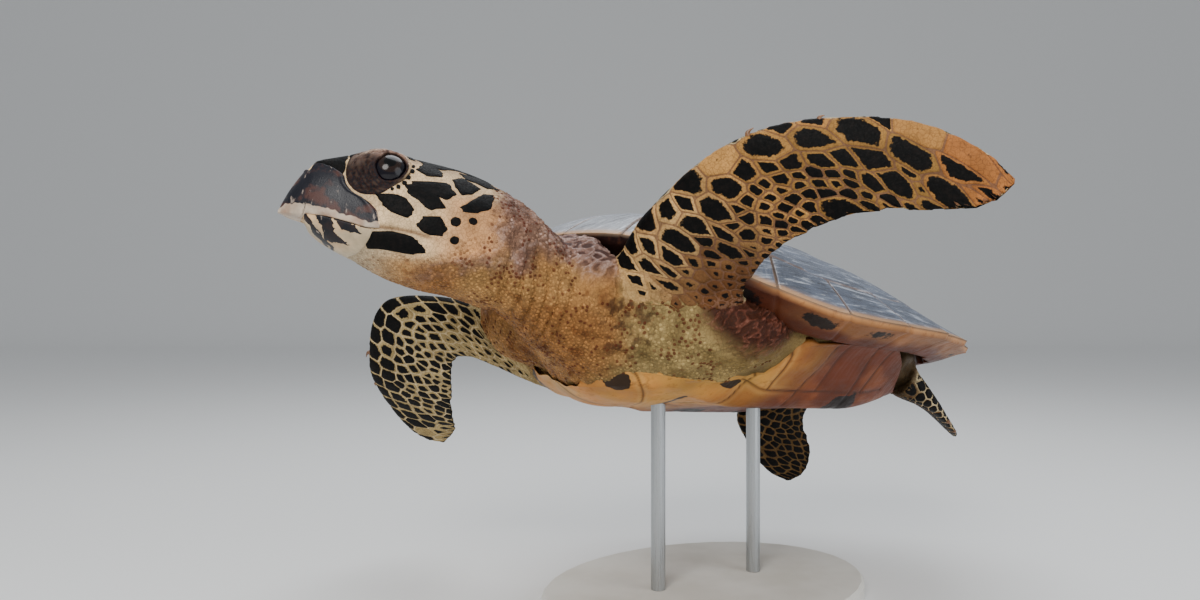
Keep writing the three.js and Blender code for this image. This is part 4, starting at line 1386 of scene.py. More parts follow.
def granules(name, keep, pitch_at, seed=3):
    """Small round scales all over part of the skin. keep(points, part, u, v) says where."""
    rng = np.random.default_rng(seed)
    corners = skin_triangles
    a, b, c = (skin_points[corners[:, k]] for k in range(3))
    wanted = keep(skin_points, skin_part, skin_u, skin_v)
    inside = wanted[corners].all(1)
    a, b, c = a[inside], b[inside], c[inside]
    part, u, v = skin_part[corners[inside, 0]], skin_u[corners[inside, 0]], skin_v[corners[inside, 0]]
    area = np.linalg.norm(np.cross(b - a, c - a), axis=1) / 2
    smallest = pitch_at(a, part, u, v).min()
    count = int(area.sum() * 1e6 / smallest**2 * 5)
    pick = rng.choice(len(a), count, p=area / area.sum())
    r1, r2 = np.sqrt(rng.uniform(size=count)), rng.uniform(size=count)
    places = (1 - r1)[:, None] * a[pick] + (r1 * (1 - r2))[:, None] * b[pick] + (r1 * r2)[:, None] * c[pick]
    part, u, v = part[pick], u[pick], v[pick]
    pitch = pitch_at(places, part, u, v)
    chosen = uncrowded(places, pitch / 1000)
    places, part, u, v, pitch = places[chosen], part[chosen], u[chosen], v[chosen], pitch[chosen]
    places, normals = skinned.nearest(places)
    side = unit(np.cross(normals, rng.normal(size=normals.shape)))
    other = np.cross(normals, side)
    n = GRANULE_CORNERS
    angle = np.arange(n) * 2 * math.pi / n
    circle = np.stack([np.cos(angle), np.sin(angle)], -1)
    long = rng.uniform(0.95, 1.2, len(places))[:, None, None]
    ring = side[:, None] * (circle[None, :, :1] * long) + other[:, None] * (circle[None, :, 1:] / long)
    radius = (pitch * 0.56 / 1000)[:, None, None]
    rise = (GRANULE_HEIGHT * pitch / pitch.max() / 1000)[:, None, None]
    outer = places[:, None] + ring * radius - normals[:, None] * 0.00025
    inner = places[:, None] + ring * radius * 0.78 + normals[:, None] * rise * 0.85
    top = places[:, None] + normals[:, None] * rise
    points = np.concatenate([outer, inner, top], 1)
    each = 2 * n + 1
    triangles = nested_faces(2, n)[None] + (np.arange(len(places)) * each)[:, None, None]
    triangles = triangles.reshape(-1, 3)
    made = build_mesh(name, points.reshape(-1, 3), triangles)
    tints = tint_at(places, part, u, v) * (0.98 + 0.14 * rng.normal(size=(len(places), 1)))
    clustered = noise(in_body(places) * (1, 1, 0.5), 9, 41, 2) + 0.55 * rng.normal(size=len(places))
    spotted = smooth(0.45, 0.7, clustered) * mix(0.85, 0.3, smooth(-10, -60, in_head(in_body(places))[:, 1]))
    tints = mix(tints, SPECK_RED, spotted[:, None])
    core = np.concatenate([np.zeros(n), np.full(n, 0.5), [1.0]])
    set_points(
        made,
        tint=np.repeat(np.clip(tints, 0, 1), each, 0),
        dark=np.full(len(places) * each, -0.3),
        core=np.tile(core, len(places)),
    )
    patch = np.concatenate([circle, 0.72 * circle, [[0, 0]]])
    uv = atlas(part, u, v)[:, None] + patch[None] * PATCH
    lay_patches(made, uv.reshape(-1, 2))
    print(name, len(triangles), "triangles", flush=True)
    return finished(made, hide, "scaled_skin")


skin.data.calc_loop_triangles()
skin_triangles = np.empty(len(skin.data.loop_triangles) * 3, np.int32)
skin.data.loop_triangles.foreach_get("vertices", skin_triangles)
skin_triangles = skin_triangles.reshape(-1, 3)
set_points(
    skin,
    tint=tint_at(skin_points, skin_part, skin_u, skin_v, seams=True),
    dark=np.full(len(skin_points), -1.0),
    core=np.zeros(len(skin_points)),
)
finished(
    skin, hide, "skin", "head", "neck", "trunk", "tail", "flipper_fore_left_arm", "flipper_fore_left_blade",
    "flipper_fore_right_arm", "flipper_fore_right_blade", "flipper_hind_left", "flipper_hind_right",
)

# Rows of scales beside the leading edge: mm from it, mm from scale to scale, and mm along to its start.
FORE_ROWS = ((8.2, 17.5, 30), (24.5, 15.5, 40))
HIND_ROWS = ((6, 12, 12),)
scale_limb("fore_left", fore_scale_size, fore_dark, FORE_ROWS, 16, LARGE_UNDER)
scale_limb("fore_right", fore_scale_size, fore_right_dark, FORE_ROWS, 16)
scale_limb("hind_left", hind_scale_size, hind_dark, HIND_ROWS, 10)
scale_limb("hind_right", hind_scale_size, hind_dark, HIND_ROWS, 10)


def in_sight(points, part, u, v):
    """Where bare hide shows: not in the shell, not curled, and not under the larger scales."""
    body = in_body(points)
    hidden = (np.abs(body[:, 1] - 20) < 130) & is_part(part, "trunk")
    flippers = is_part(part, *FLIPPERS) & (u > 0.12)
    return ~hidden & ~flippers & (curl_share(body) < 0.5)


def on_neck_or_throat(points, part, u, v):
    """The neck, the throat and the rear of the cheeks, below and behind the scutes of the head."""
    inside_head = in_head(in_body(points))
    ahead = -inside_head[:, 1] / HEAD_LENGTH
    lowest_scute = mix(-20, 2, smooth(0.33, 0.1, ahead))
    cheek = is_part(part, "head") & ((ahead < 0.07) | (inside_head[:, 2] < lowest_scute)) & (ahead < 0.62)
    return in_sight(points, part, u, v) & (cheek | is_part(part, "neck"))


def on_shoulders(points, part, u, v):
    return in_sight(points, part, u, v) & ~is_part(part, "neck", "head")


granules("granules_neck", on_neck_or_throat, lambda places, *_: np.full(len(places), 2.5))
granules("granules_shoulders", on_shoulders, lambda places, *_: np.full(len(places), 2.9))

# ---- The head: scutes, beak, lids and eyes ----


def head_place(points):
    return placed(from_head(points))


def head_direction(vector):
    return BODY @ HEAD @ np.array(vector, float)


def inside_outline(places, outline):
    """Which places (n, 2) lie inside a closed outline."""
    outline = np.asarray(outline, float)
    odd = np.zeros(len(places), bool)
    for a, b in zip(outline, np.roll(outline, -1, 0)):
        crosses = (a[1] > places[:, 1]) != (b[1] > places[:, 1])
        with np.errstate(divide="ignore", invalid="ignore"):
            at = a[0] + (places[:, 1] - a[1]) / (b[1] - a[1]) * (b[0] - a[0])
        odd ^= crosses & (places[:, 0] < at)
    return odd


# Scutes on the side of the head, as (share of the head's length from its back, height in mm).
SIDE_SCUTES = [
    [(0.43, 47), (0.4, 54), (0.36, 55), (0.31, 48.5), (0.32, 45), (0.38, 43)],
    [(0.46, 29), (0.44, 35.5), (0.37, 37), (0.29, 40), (0.25, 31), (0.29, 25), (0.32, 27), (0.285, 19.5),
     (0.345, 16.5), (0.415, 21.5)],
    [(0.26, 44.5), (0.215, 47.5), (0.135, 41.5), (0.17, 35), (0.215, 32.5), (0.245, 38)],
    [(0.21, 22), (0.115, 37), (0.07, 38), (0.08, 26), (0.135, 20), (0.195, 19)],
    [(0.585, 20.5), (0.505, 22.5), (0.46, 21), (0.42, 13), (0.44, 7), (0.51, 9.5), (0.545, 13.5)],
    [(0.39, 1.5), (0.37, 9), (0.3, 11), (0.265, 3), (0.28, -3), (0.34, -3)],
    [(0.6, -14), (0.57, -7.5), (0.5, -5.5), (0.41, -7.5), (0.365, -12), (0.345, -16.5), (0.4, -19),
     (0.52, -18), (0.575, -19)],
]
# Round scutes on the cheek and behind the eye: the same two measures, and the radius in mm.
SPOTS = [(0.228, 9.5, 4.2), (0.152, 12.5, 3.4), (0.22, -4.5, 3.6)]
POSTOCULARS = [
    (0.447, 49, 1.3), (0.449, 44.5, 1.9), (0.463, 38.5, 2.0), (0.475, 33, 1.9), (0.499, 29, 1.7),
    (0.523, 26.5, 1.3),
]

# Scutes on the crown, as (mm from the middle, share of the head's length), for the left side.
CROWN_SCUTES = [
    [(1.2, 0.88), (8, 0.868), (13, 0.83), (18, 0.79), (22.5, 0.75), (22, 0.743), (1.2, 0.743)],
    [(1.2, 0.73), (20, 0.73), (20, 0.68), (14, 0.618), (1.2, 0.62)],
    [(17.5, 0.6), (24, 0.58), (25, 0.5), (21, 0.44), (14.5, 0.46), (14, 0.57)],
    [(15, 0.43), (21, 0.4), (24, 0.32), (18, 0.26), (12, 0.3), (12, 0.4)],
    [(1.5, 0.3), (11, 0.28), (18, 0.24), (20, 0.13), (12, 0.06), (1.5, 0.07)],
    [(22, 0.23), (29, 0.2), (31, 0.1), (24, 0.03), (20.5, 0.1)],
]
CROWN_MIDDLE = [
    [(0, 0.6), (11, 0.59), (11.5, 0.51), (6, 0.47), (0, 0.465), (-6, 0.47), (-11.5, 0.51), (-11, 0.59)],
    [(0, 0.45), (7, 0.455), (11, 0.42), (9.5, 0.33), (0, 0.31), (-9.5, 0.33), (-11, 0.42), (-7, 0.455)],
]


# How far out lines towards the head's surface start: beside it, over it, and along an eye's axis (mm).
BESIDE, OVER, ALONG_EYE = 90.0, 100.0, 70


def disc(place, radius, squash=1.0):
    """A round outline on the side of the head."""
    angle = np.arange(10) * 2 * math.pi / 10
    ahead = place[0] + radius / HEAD_LENGTH * np.cos(angle)
    return np.stack([ahead, place[1] + radius * squash * np.sin(angle)], -1)


def side_find(side):
    """Finds places on the skin for outlines drawn on one side of the head."""

    def find(flat):
        starts = head_place(stack(side * BESIDE, -flat[:, 0] * HEAD_LENGTH, flat[:, 1]))
        return skinned.cast(starts, head_direction((-side, 0, 0)))

    return find


def crown_find(side):
    """Finds places on the skin for outlines drawn on one half of the crown."""

    def find(flat):
        starts = head_place(stack(side * flat[:, 0], -flat[:, 1] * HEAD_LENGTH, OVER))
        return skinned.cast(starts, head_direction((0, 0, -1)))

    return find


def head_scutes():
    """The dark scutes on the head, each grown a little and with a slightly ragged edge."""
    coat = Coat()
    skin_tree = tree_of(skin_points)

    def lay(outline, find, height, dark, count, grow=1.0):
        shape = resampled(np.array(outline, float), count, min(1, 20 // count))
        centre = shape.mean(0)
        ragged = 0.05 * random.normal(size=(count, 1))
        ragged = (ragged + np.roll(ragged, 1, 0) + np.roll(ragged, 2, 0)) / 2
        shape = centre + (shape - centre) * (grow + ragged)
        place, _ = find(centre[None])
        nearest = [skin_tree.find(p)[1] for p in place]
        on_form = skin_part[nearest], skin_u[nearest], skin_v[nearest]
        tint, root = tint_at(place, *on_form), atlas(*on_form)
        heights, darks = np.array([height]), np.array([dark])
        coat.add(shape[None], centre[None], find, heights, tint, darks, root, LARGE_SCALE)

    for side in (1, -1):
        for outline in SIDE_SCUTES:
            lay(outline, side_find(side), 0.6, 1.34, 56, 1.12)
        for u, z, radius in SPOTS:
            lay(disc((u, z), radius), side_find(side), 0.5, 1.15, 20)
        for u, z, radius in POSTOCULARS:
            lay(disc((u, z), radius, 1.15), side_find(side), 0.9, 1.05, 16)
        for outline in CROWN_SCUTES:
            lay(outline, crown_find(side), 0.6, 1.34, 48, 1.08)
    for outline in CROWN_MIDDLE:
        lay(outline, crown_find(1), 0.6, 1.34, 48, 1.05)
    return coat.piece("scutes_head")


head_scutes()


def horn_material(name, dark_tone, patch_tone, gloss):
    """Beak horn: the tint stored on each point, under a dark tone with patches and pale flecks."""
    s = Shade(name)
    broad = s.noise(70, 4, 0.6)
    flecks = s.noise(1, 3, 0.6, s.stretched((230, 230, 75)))
    fine = s.noise(1100, 2)
    dark = s.mixed(s.between(broad, 0.47, 0.62), dark_tone, patch_tone)
    dark = s.mixed(s.between(flecks, 0.61, 0.7, 0, 0.8), dark, colour("9c8c80"))
    pale = s.brightened(s.point("tint", "Color"), s.between(broad, 0.3, 0.7, 0.8, 1.15))
    tone = s.mixed(s.between(s.plus(s.point("dark"), flecks, 0.2), 0.45, 0.7), pale, dark)
    bump = s.plus(fine, flecks, 0.8)
    return s.finish(tone, s.between(broad, 0.3, 0.7, 0.36, 0.5), bump, 0.00035, 0.5, coat=gloss, specular=0.3)


beak_horn = horn_material("beak_horn", colour("0b0c17"), colour("432620"), 0.04)
jaw_horn = horn_material("jaw_horn", colour("0a0a12"), colour("1e1314"), 0.0)


def v_at_height(u, z):
    """How far round the head (0 top, 0.5 under) this height is reached."""
    height = np.where(z > 0, head_top(u), -head_under(u))
    square = np.where(z > 0, mix(0.95, 0.82, smooth(0.1, 0.5, u)), 0.95)
    up = np.clip(power(z / height, 1 / square), -1, 1)
    return np.arccos(up) / (2 * np.pi)


def sheet(points, normals, height):
    """A grid of points raised along its normals, as one open mesh's points and quads."""
    rows, columns = points.shape[:2]
    i, j = np.meshgrid(np.arange(rows - 1), np.arange(columns - 1), indexing="ij")
    a = i * columns + j
    quads = np.stack([a, a + 1, a + columns + 1, a + columns], -1).reshape(-1, 4)
    return (points + normals * height[..., None]).reshape(-1, 3), quads


def grid_normals(points, outward_from):
    """The normals of a grid of points, all facing away from the given places."""
    along = np.gradient(points, axis=0)
    across = np.gradient(points, axis=1)
    normals = unit(np.cross(along, across))
    outward = np.sign(np.sum(normals * (points - outward_from), -1, keepdims=True))
    return unit(normals * np.where(outward == 0, 1, outward))


# Where the upper beak begins, as a share of the head's length, from its top (0) to its cutting edge (1).
sheath_edge = keyed(
    (0, 0.915), (0.23, 0.89), (0.39, 0.838), (0.52, 0.782), (0.62, 0.742), (0.71, 0.721), (0.77, 0.685),
    (0.81, 0.61), (0.88, 0.568), (0.95, 0.554), (1, 0.552),
)
# How high over the mouth its pale cutting edge reaches (mm).
tomium_top = keyed((0.55, 3.6), (0.6, 3.6), (0.68, 4), (0.77, 4.6), (0.84, 5.6), (0.92, 6.6), (1, 3))


def upper_beak():
    """The horn sheath over the snout, with its nostrils and its pale cutting edge."""
    a, b = np.meshgrid(np.linspace(0, 1, 110) ** 0.9, np.linspace(-1, 1, 161), indexing="ij")
    u = mix(sheath_edge(np.abs(b)), 0.999, a)
    lowest = mix(v_at_height(u, mouth_height(u) - 0.7), 0.497, smooth(0.875, 0.9, u))
    v = b * lowest
    points = head_frame(u, v)
    axis = stack(0, -u * HEAD_LENGTH, mix(8.0, 0, smooth(0.8, 1, u)))
    normals = grid_normals(points, axis)
    edge = np.minimum(a / 0.03, (1 - np.abs(b)) / 0.012)
    lift = mix(-1.3, 0.0, smooth(0, 1, edge)) + 0.5 * bump(a, 0.05, 0.04) * smooth(0.95, 0.8, np.abs(b))
    from_nostril = np.hypot((u - 0.874) * HEAD_LENGTH, points[..., 2] - 44.5)
    lift = lift - 1.2 * bump(from_nostril, 0, 2.4) * (np.abs(points[..., 0]) > 2)
    raised_points, quads = sheet(points, normals, lift - 0.05)
    uneven = noise(points.reshape(-1, 3) * (1, 1, 0.3), 7, 4).reshape(u.shape)
    dark = smooth(-1.6, 2.2, points[..., 2] - mouth_height(u) - tomium_top(u) - 2.2 * uneven)
    made = build_mesh("upper_beak", head_place(raised_points), quads)
    warm = 0.1 + 0.7 * noise(raised_points, 9, 8)
    tint = blended(raised_points, [(colour("b8a794"), 1), (colour("9a7a64"), warm)])
    set_points(made, tint=tint, dark=dark.ravel(), core=np.zeros(dark.size))
    finished(made, beak_horn, "horn", "beak_upper")


# Dark streaks down the lower beak, in the same places as the scutes'.
STREAKS = [
    [(0.83, 1), (0.765, -1), (0.74, -10), (0.69, -16), (0.77, -14.5), (0.805, -4.5)],
    [(0.745, 0), (0.68, -2), (0.635, -9.5), (0.705, -8)],
    [(0.885, -1), (0.87, -1), (0.8, -13), (0.745, -18.5), (0.75, -19.5), (0.81, -14.5)],
    [(0.64, -3.5), (0.6, -5), (0.59, -6), (0.63, -5)],
]
lower_beak_edge = keyed((0, 0.66), (0.5, 0.61), (1, 0.575))


def lower_beak():
    """The horn sheath of the lower jaw, the hide's colour with dark streaks."""
    a, b = np.meshgrid(np.linspace(0, 1, 90), np.linspace(-1, 1, 141), indexing="ij")
    u = mix(lower_beak_edge(np.abs(b)), 0.884, a)
    highest = v_at_height(u, mouth_height(u) - 1.0)
    v = 0.5 + b * (0.5 - highest)
    points = head_frame(u, v)
    normals = grid_normals(points, stack(0, -u * HEAD_LENGTH, 6.0))
    edge = np.minimum(np.minimum(a / 0.03, (1 - np.abs(b)) / 0.012), (1 - a) / 0.02)
    raised_points, quads = sheet(points, normals, mix(-1.4, -0.05, smooth(0, 1, edge)))
    places = np.stack([u, points[..., 2]], -1).reshape(-1, 2)
    jitter = np.stack([noise(raised_points, 4, 5), noise(raised_points, 4, 6) * 100], -1) * 0.008
    dark = np.zeros(len(places))
    for outline in STREAKS:
        middle = np.mean(outline, 0)
        grown = middle + (np.array(outline) - middle) * 1.3
        dark = np.maximum(dark, inside_outline(places + jitter, grown))
    in_part_frame = head_place(raised_points)
    made = build_mesh("lower_beak", in_part_frame, quads)
    head_part = np.full(len(raised_points), PARTS.index("head"))
    tint = tint_at(in_part_frame, head_part, u.ravel(), v.ravel())
    warm = (0.2 + 0.5 * noise(raised_points, 12, 9)) * smooth(0.1, 0.4, a).ravel()
    tint = mix(tint, colour("c79a6a"), np.clip(warm, 0, 1)[:, None])
    set_points(made, tint=tint, dark=dark * 0.9)
    finished(made, jaw_horn, "jaw_horn", "jaw_lower")


upper_beak()
lower_beak()

LID_AXIS = unit(np.array([0.88, -0.1, 0.46]))
LID_FRONT = unit(np.array([0.0, -1.0, 0.0]) + LID_AXIS * LID_AXIS[1])
LID_UP = np.cross(LID_FRONT, LID_AXIS)
LID_UP = LID_UP * np.sign(LID_UP[2])

# How far the lid's edge and outer limit are from the eye's middle (mm), by degrees from above to the front.
lid_edge = keyed(
    (0, 12), (53, 8.4), (95, 10), (127, 11), (169, 13.2), (201, 13.2), (236, 12.4), (280, 12), (328, 12.8),
    (360, 12),
)
lid_limit = keyed(
    (0, 25), (21, 24), (57, 33), (80, 32), (110, 32), (130, 31), (152, 27), (168, 24), (190, 19.5),
    (215, 16.6), (255, 15.4), (290, 15.8), (313, 18), (340, 23.5), (360, 25),
)


def eye_and_lids(side):
    """One eye's ball, and round it the wrinkled lids, which rise from the head to the ball's edge."""
    mirror = np.array([side, 1, 1])
    middle = EYE_AT * mirror
    axis, front, up = LID_AXIS * mirror, LID_FRONT * mirror, LID_UP * mirror
    rows, columns = 46, 145
    s, turn = np.meshgrid(np.linspace(0, 1, rows), np.arange(columns) / (columns - 1) * 360, indexing="ij")
    angle = np.radians(turn)
    rho = mix(lid_edge(turn), lid_limit(turn), s)
    out = front * np.sin(angle)[..., None] + up * np.cos(angle)[..., None]
    base = middle + out * rho[..., None]
    starts = head_place((base + axis * ALONG_EYE).reshape(-1, 3))
    hits, _ = head_surface.cast(starts, head_direction(-axis))
    floor_height = (in_head(in_body(hits)).reshape(base.shape) - base) @ axis
    above = smooth(-0.2, 0.8, np.cos(angle - 0.5))
    start = np.sqrt((EYE_RADIUS + 0.8) ** 2 - lid_edge(turn) ** 2)
    swelling = (1.6 + 2.0 * above) * np.sin(np.pi * s**0.7) * (1 - s)
    arch = mix(start, floor_height[-1][None], s) + swelling
    height = np.maximum(arch, floor_height - 0.9 + 0.3 * smooth(0, 0.1, s))
    places = (base + axis * height[..., None]).reshape(-1, 3)
    rough = noise(places, 9, 12).reshape(s.shape)
    rings = ridged((rho - lid_edge(turn)) / mix(1.5, 2.4, above) + 0.8 * rough)
    creases = ridged(noise(places * (1, 0.6, 1), 5, 15, 2).reshape(s.shape) * 2.4)
    wrinkle = 0.2 * rings * smooth(0.02, 0.12, s) * smooth(1, 0.85, s) + 0.34 * creases * smooth(0.05, 0.2, s)
    height = height + wrinkle * smooth(1.0, 0.9, s) - 0.9 * smooth(0.93, 1, s) - 1.6 * smooth(0.03, 0, s)
    points = base + axis * height[..., None]
    i, j = np.meshgrid(np.arange(rows - 1), np.arange(columns - 1), indexing="ij")
    a, b = i * columns + j, i * columns + (j + 1) % (columns - 1)
    quads = np.stack([a, b, b + columns, a + columns], -1).reshape(-1, 4)
    quads = quads if side > 0 else quads[:, ::-1]
    name = "left" if side > 0 else "right"
    lids = build_mesh("lids_" + name, head_place(points.reshape(-1, 3)), quads)
    flat = points.reshape(-1, 3)
    upper = smooth(-0.1, 0.7, np.cos(angle - 0.15)).ravel()
    front_dark = smooth(0.2, 0.8, np.cos(angle - 2.0)).ravel()
    # The hollows of the wrinkles, darkened below as painted shade.
    sunk = smooth(0.1, -0.5, (wrinkle / 0.5)).ravel()
    tint = blended(
        flat,
        [
            (colour("16141a"), 1),
            (colour("a08070"), upper * (0.75 + 0.6 * noise(flat, 8, 7))),
            (colour("d6bca8"), upper * smooth(0.15, 0.6, s).ravel() * (0.25 + 0.8 * noise(flat, 5, 17))),
            (colour("2c2020"), upper * smooth(0.25, 0.8, noise(flat, 5, 27)) * 0.8),
            (colour("101016"), front_dark * 0.7),
            # Darker in the hollows of the wrinkles and lighter on their crests: painted shade and painted
            # highlight that follow the relief.
            (colour("0d0a0a"), sunk * 0.75),
            (colour("5e4c3a"), smooth(0.35, 0.95, (wrinkle / 0.5)).ravel() * 0.25),
            (colour("100c0c"), smooth(0.06, 0.0, s).ravel() * 0.9),
            (CREAM, (smooth(0.45, 0.8, s) * bump(turn, 280, 42)).ravel() * 0.85),
        ],
    )
    set_points(lids, tint=tint, dark=np.full(len(flat), -1.0), core=np.zeros(len(flat)))
    finished(lids, hide, "skin")

    u, v = grid_over(np.linspace(0, 1, 49), 96)
    ring = np.sin(np.pi * u)
    ball_points = middle + EYE_RADIUS * (
        axis * np.cos(np.pi * u)[..., None]
        + front * (ring * np.sin(2 * np.pi * v))[..., None]
        + up * (ring * np.cos(2 * np.pi * v))[..., None]
    )
    quads = ring_quads(49, 96, turned=True)
    quads = quads if side > 0 else quads[:, ::-1]
    eye = build_mesh("eyeball_" + name, head_place(ball_points.reshape(-1, 3)), quads)
    set_points(eye, core=(180 * u).ravel())
    finished(eye, eye_material, "eye", "eye_" + name)


def make_eye_material():
    """A dark, wet eye: black pupil, dark brown iris with fine spokes, and nearly black round it."""
    s = Shade("eye")
    angle = s.point("core")
    spokes = s.noise(500, 4, 0.7)
    iris = s.mixed(spokes, colour("120c0b"), colour("2a1c16"))
    tone = s.mixed(s.between(angle, 17, 20), colour("030303"), iris)
    tone = s.mixed(s.between(angle, 33, 38), tone, colour("0d0b12"))
    return s.finish(tone, s.between(s.noise(90), 0.3, 0.7, 0.14, 0.2), spokes, 0.00003, 0.1, specular=0.28)


head_points, head_quads, head_caps = tube(head, 120, 128)
head_mesh = build_mesh("head_form", head_points, head_quads, head_caps)
head_surface = Skinned(head_mesh)
bpy.data.objects.remove(head_mesh)
eye_material = make_eye_material()
for side in (1, -1):
    eye_and_lids(side)

# ---- The shell ----


def shell_material():
    """Carapace scutes: slate blue-grey with pale streaks running out from each scute's growth centre."""
    s = Shade("carapace")
    streaks = s.noise(1, 5, 0.65, s.stretched((150, 16, 60)), 0.6)
    cracks = s.noise(1, 4, 0.6, s.stretched((330, 34, 140), (0, 0, -0.12)), 0.8)
    broad = s.noise(22, 4, 0.6)
    fine = s.noise(700, 3)
    scratch = s.noise(1, 3, 0.7, s.stretched((900, 60, 400), (0, 0, 0.35)))
    growth = s.node("ShaderNodeMath", {0: s.maths("MULTIPLY", s.point("core"), 42.0)}, operation="SINE")
    tone_shift = s.between(broad, 0.3, 0.7)
    tone = s.mixed(tone_shift, s.point("tint", "Color"), s.brightened(s.point("tint", "Color"), 0.6))
    tone = s.mixed(s.between(streaks, 0.52, 0.66, 0, 0.75), tone, colour("c3c9d4"))
    tone = s.mixed(s.between(streaks, 0.46, 0.34, 0, 0.6), tone, colour("2b2a30"))
    tone = s.mixed(s.between(cracks, 0.4, 0.3, 0, 0.85), tone, colour("1b1a20"))
    tone = s.mixed(s.between(cracks, 0.6, 0.7, 0, 0.6), tone, colour("cfd3da"))
    tone = s.mixed(s.between(scratch, 0.62, 0.72, 0, 0.5), tone, colour("dad9d6"))
    tone = s.mixed(s.point("dark"), tone, colour("b08458"))
    bump = s.plus(s.maths("MULTIPLY", streaks, 1.2), fine, 0.35)
    bump = s.plus(bump, cracks, 1.1)
    bump = s.plus(bump, growth, 0.12)
    return s.finish(tone, s.between(fine, 0.3, 0.7, 0.34, 0.5), bump, 0.0006, 0.8, coat=0.15)


def under_material():
    """Plastron and rim undersides: waxy yellow-orange to rust, black blotches, growth lines."""
    s = Shade("plastron")
    broad = s.noise(30, 4, 0.6)
    mottle = s.noise(120, 4, 0.65)
    fine = s.noise(700, 3)
    tone = s.brightened(s.point("tint", "Color"), s.between(broad, 0.25, 0.75, 0.75, 1.3))
    tone = s.mixed(s.between(mottle, 0.5, 0.75, 0, 0.5), tone, colour("5a2c14"))
    black = s.between(s.plus(s.point("dark"), s.maths("SUBTRACT", mottle, 0.5), 0.9), 0.42, 0.55)
    tone = s.mixed(s.maths("MULTIPLY", black, 0.95), tone, colour("0c0a0b"))
    growth = s.node("ShaderNodeMath", {0: s.maths("MULTIPLY", s.point("core"), 38.0)}, operation="SINE")
    bump = s.maths("ADD", s.maths("MULTIPLY", growth, 0.25), fine)
    return s.finish(tone, s.between(mottle, 0.3, 0.7, 0.42, 0.6), bump, 0.0003, 0.5, specular=0.2)


carapace_horn = shell_material()
plastron_horn = under_material()
SLATE = colour("5d6678")
# The whitish sheen painted over the front scutes.
FRONT_SHEEN_WHITE = colour("c3c5c9")
# How many points the shell's mesh has round it, and how many rings from the middle of its top to its edge.
TURNS, LAYERS = 720, 46


def turn_and_reach(x, y):
    """Which way round the shell these places lie, and what share of the way out to its edge."""
    turns = np.linspace(0, 1, 2881)[:-1]
    edge = rim(turns)
    angles = np.mod(np.arctan2(edge[:, 0], -edge[:, 1]), 2 * np.pi)
    order = np.argsort(angles)
    angle = np.mod(np.arctan2(x, -y), 2 * np.pi)
    turn = np.interp(angle, angles[order], turns[order], period=2 * np.pi)
    reach = np.hypot(x, y) / np.maximum(np.hypot(*rim(turn)[..., :2].T[:2]), 1e-6)
    return turn, reach


def shell_base():
    """The closed shell under the scutes: its top a little lower than they are, its lip and its hollow."""
    turns = np.arange(TURNS) / TURNS
    edge = rim(turns)
    rho = np.linspace(0.02, 1, LAYERS)[:, None]
    top = carapace_top(rho, edge[None])
    top[..., 2] -= 2.4 * smooth(1, 0.97, rho)
    rows = [top]
    tone = [np.zeros(top.shape[:2])]
    shares = np.linspace(0.994, LIP + 0.005, 22)
    half_turn = 1 - np.abs(1 - 2 * turns)
    tooth = np.mod(half_turn * MARGINALS, 1)
    seam = np.minimum(tooth, 1 - tooth) / MARGINALS * 700
    for share in shares:
        under = edge * share
        under[:, 2] = edge[:, 2] * share**2 - 5 * smooth(1, 0.985, share) - 9 * smooth(1, LIP, share)
        under[:, 2] += 1.1 * bump(seam, 0, 1.6)
        rows.append(under[None])
        tone.append(np.ones((1, TURNS)))
    for share in (LIP - 0.01, 0.6, 0.3, 0.05):
        inner = carapace_top(np.float64(share), edge)
        inner[:, 2] -= 18
        rows.append(inner[None])
        tone.append(np.full((1, TURNS), 0.5))
    grid = np.concatenate(rows)
    tone = np.concatenate(tone)
    count = grid.shape[0]
    quads = ring_quads(count, TURNS)
    points = np.vstack([grid.reshape(-1, 3), grid[0].mean(0), grid[-1].mean(0)])
    j = np.arange(TURNS)
    first = np.stack([(j + 1) % TURNS, j, np.full(TURNS, count * TURNS)], -1)
    start = (count - 1) * TURNS
    last = np.stack([start + j, start + (j + 1) % TURNS, np.full(TURNS, count * TURNS + 1)], -1)
    made = build_mesh("carapace_base", placed(points), quads, first, last)
    share = np.concatenate([tone.ravel(), [0, 0.5]])
    uneven = noise(points, 30, 33)
    turn, reach = turn_and_reach(points[:, 0], points[:, 1])
    # Under the rim: the underside's own dark rust behind, and nearly black towards the front, where painted
    # shade darkens it.
    below = mix(colour("20100e"), colour("522410"), smooth(-190, -60, points[:, 1])[:, None])
    outer = smooth(0.86, 0.93, reach + 0.04 * uneven) * smooth(-120, -50, points[:, 1])
    below = mix(below, colour("a87444"), (outer * 0.45)[:, None])
    tint = mix(colour("6a5644"), below, share[:, None])
    half_turn = (1 - np.abs(1 - 2 * turn)) * MARGINALS
    middle = np.floor(half_turn) + 0.62
    size = 0.6 + 0.4 * np.sin(np.floor(half_turn) * 5.1)
    blotch = np.exp(-(((half_turn - middle) / 0.3) ** 2) - ((reach - 0.93) / 0.05) ** 2) * size
    edge_share = smooth(0.983, 0.995, reach) * smooth(-150, -90, points[:, 1]) * 0.9 * share
    tint = mix(tint, colour("b07c4c"), edge_share[:, None])
    set_points(made, tint=tint, dark=blotch * 0.85 * (share == 1), core=(1 - reach) * 3)
    return finished(made, plastron_horn, "carapace", "carapace")


def scute_rings(outline, reaches, count):
    """Points of a scute on the plan of the shell: its outline shrunk towards its middle, and the middle."""
    shape = resampled(np.array(outline, float), count, 0)
    shape = (np.roll(shape, 1, 0) + np.roll(shape, -1, 0) + 2 * shape) / 4
    centre = shape.mean(0)
    return centre + (shape - centre)[None] * np.array(reaches)[:, None, None], centre


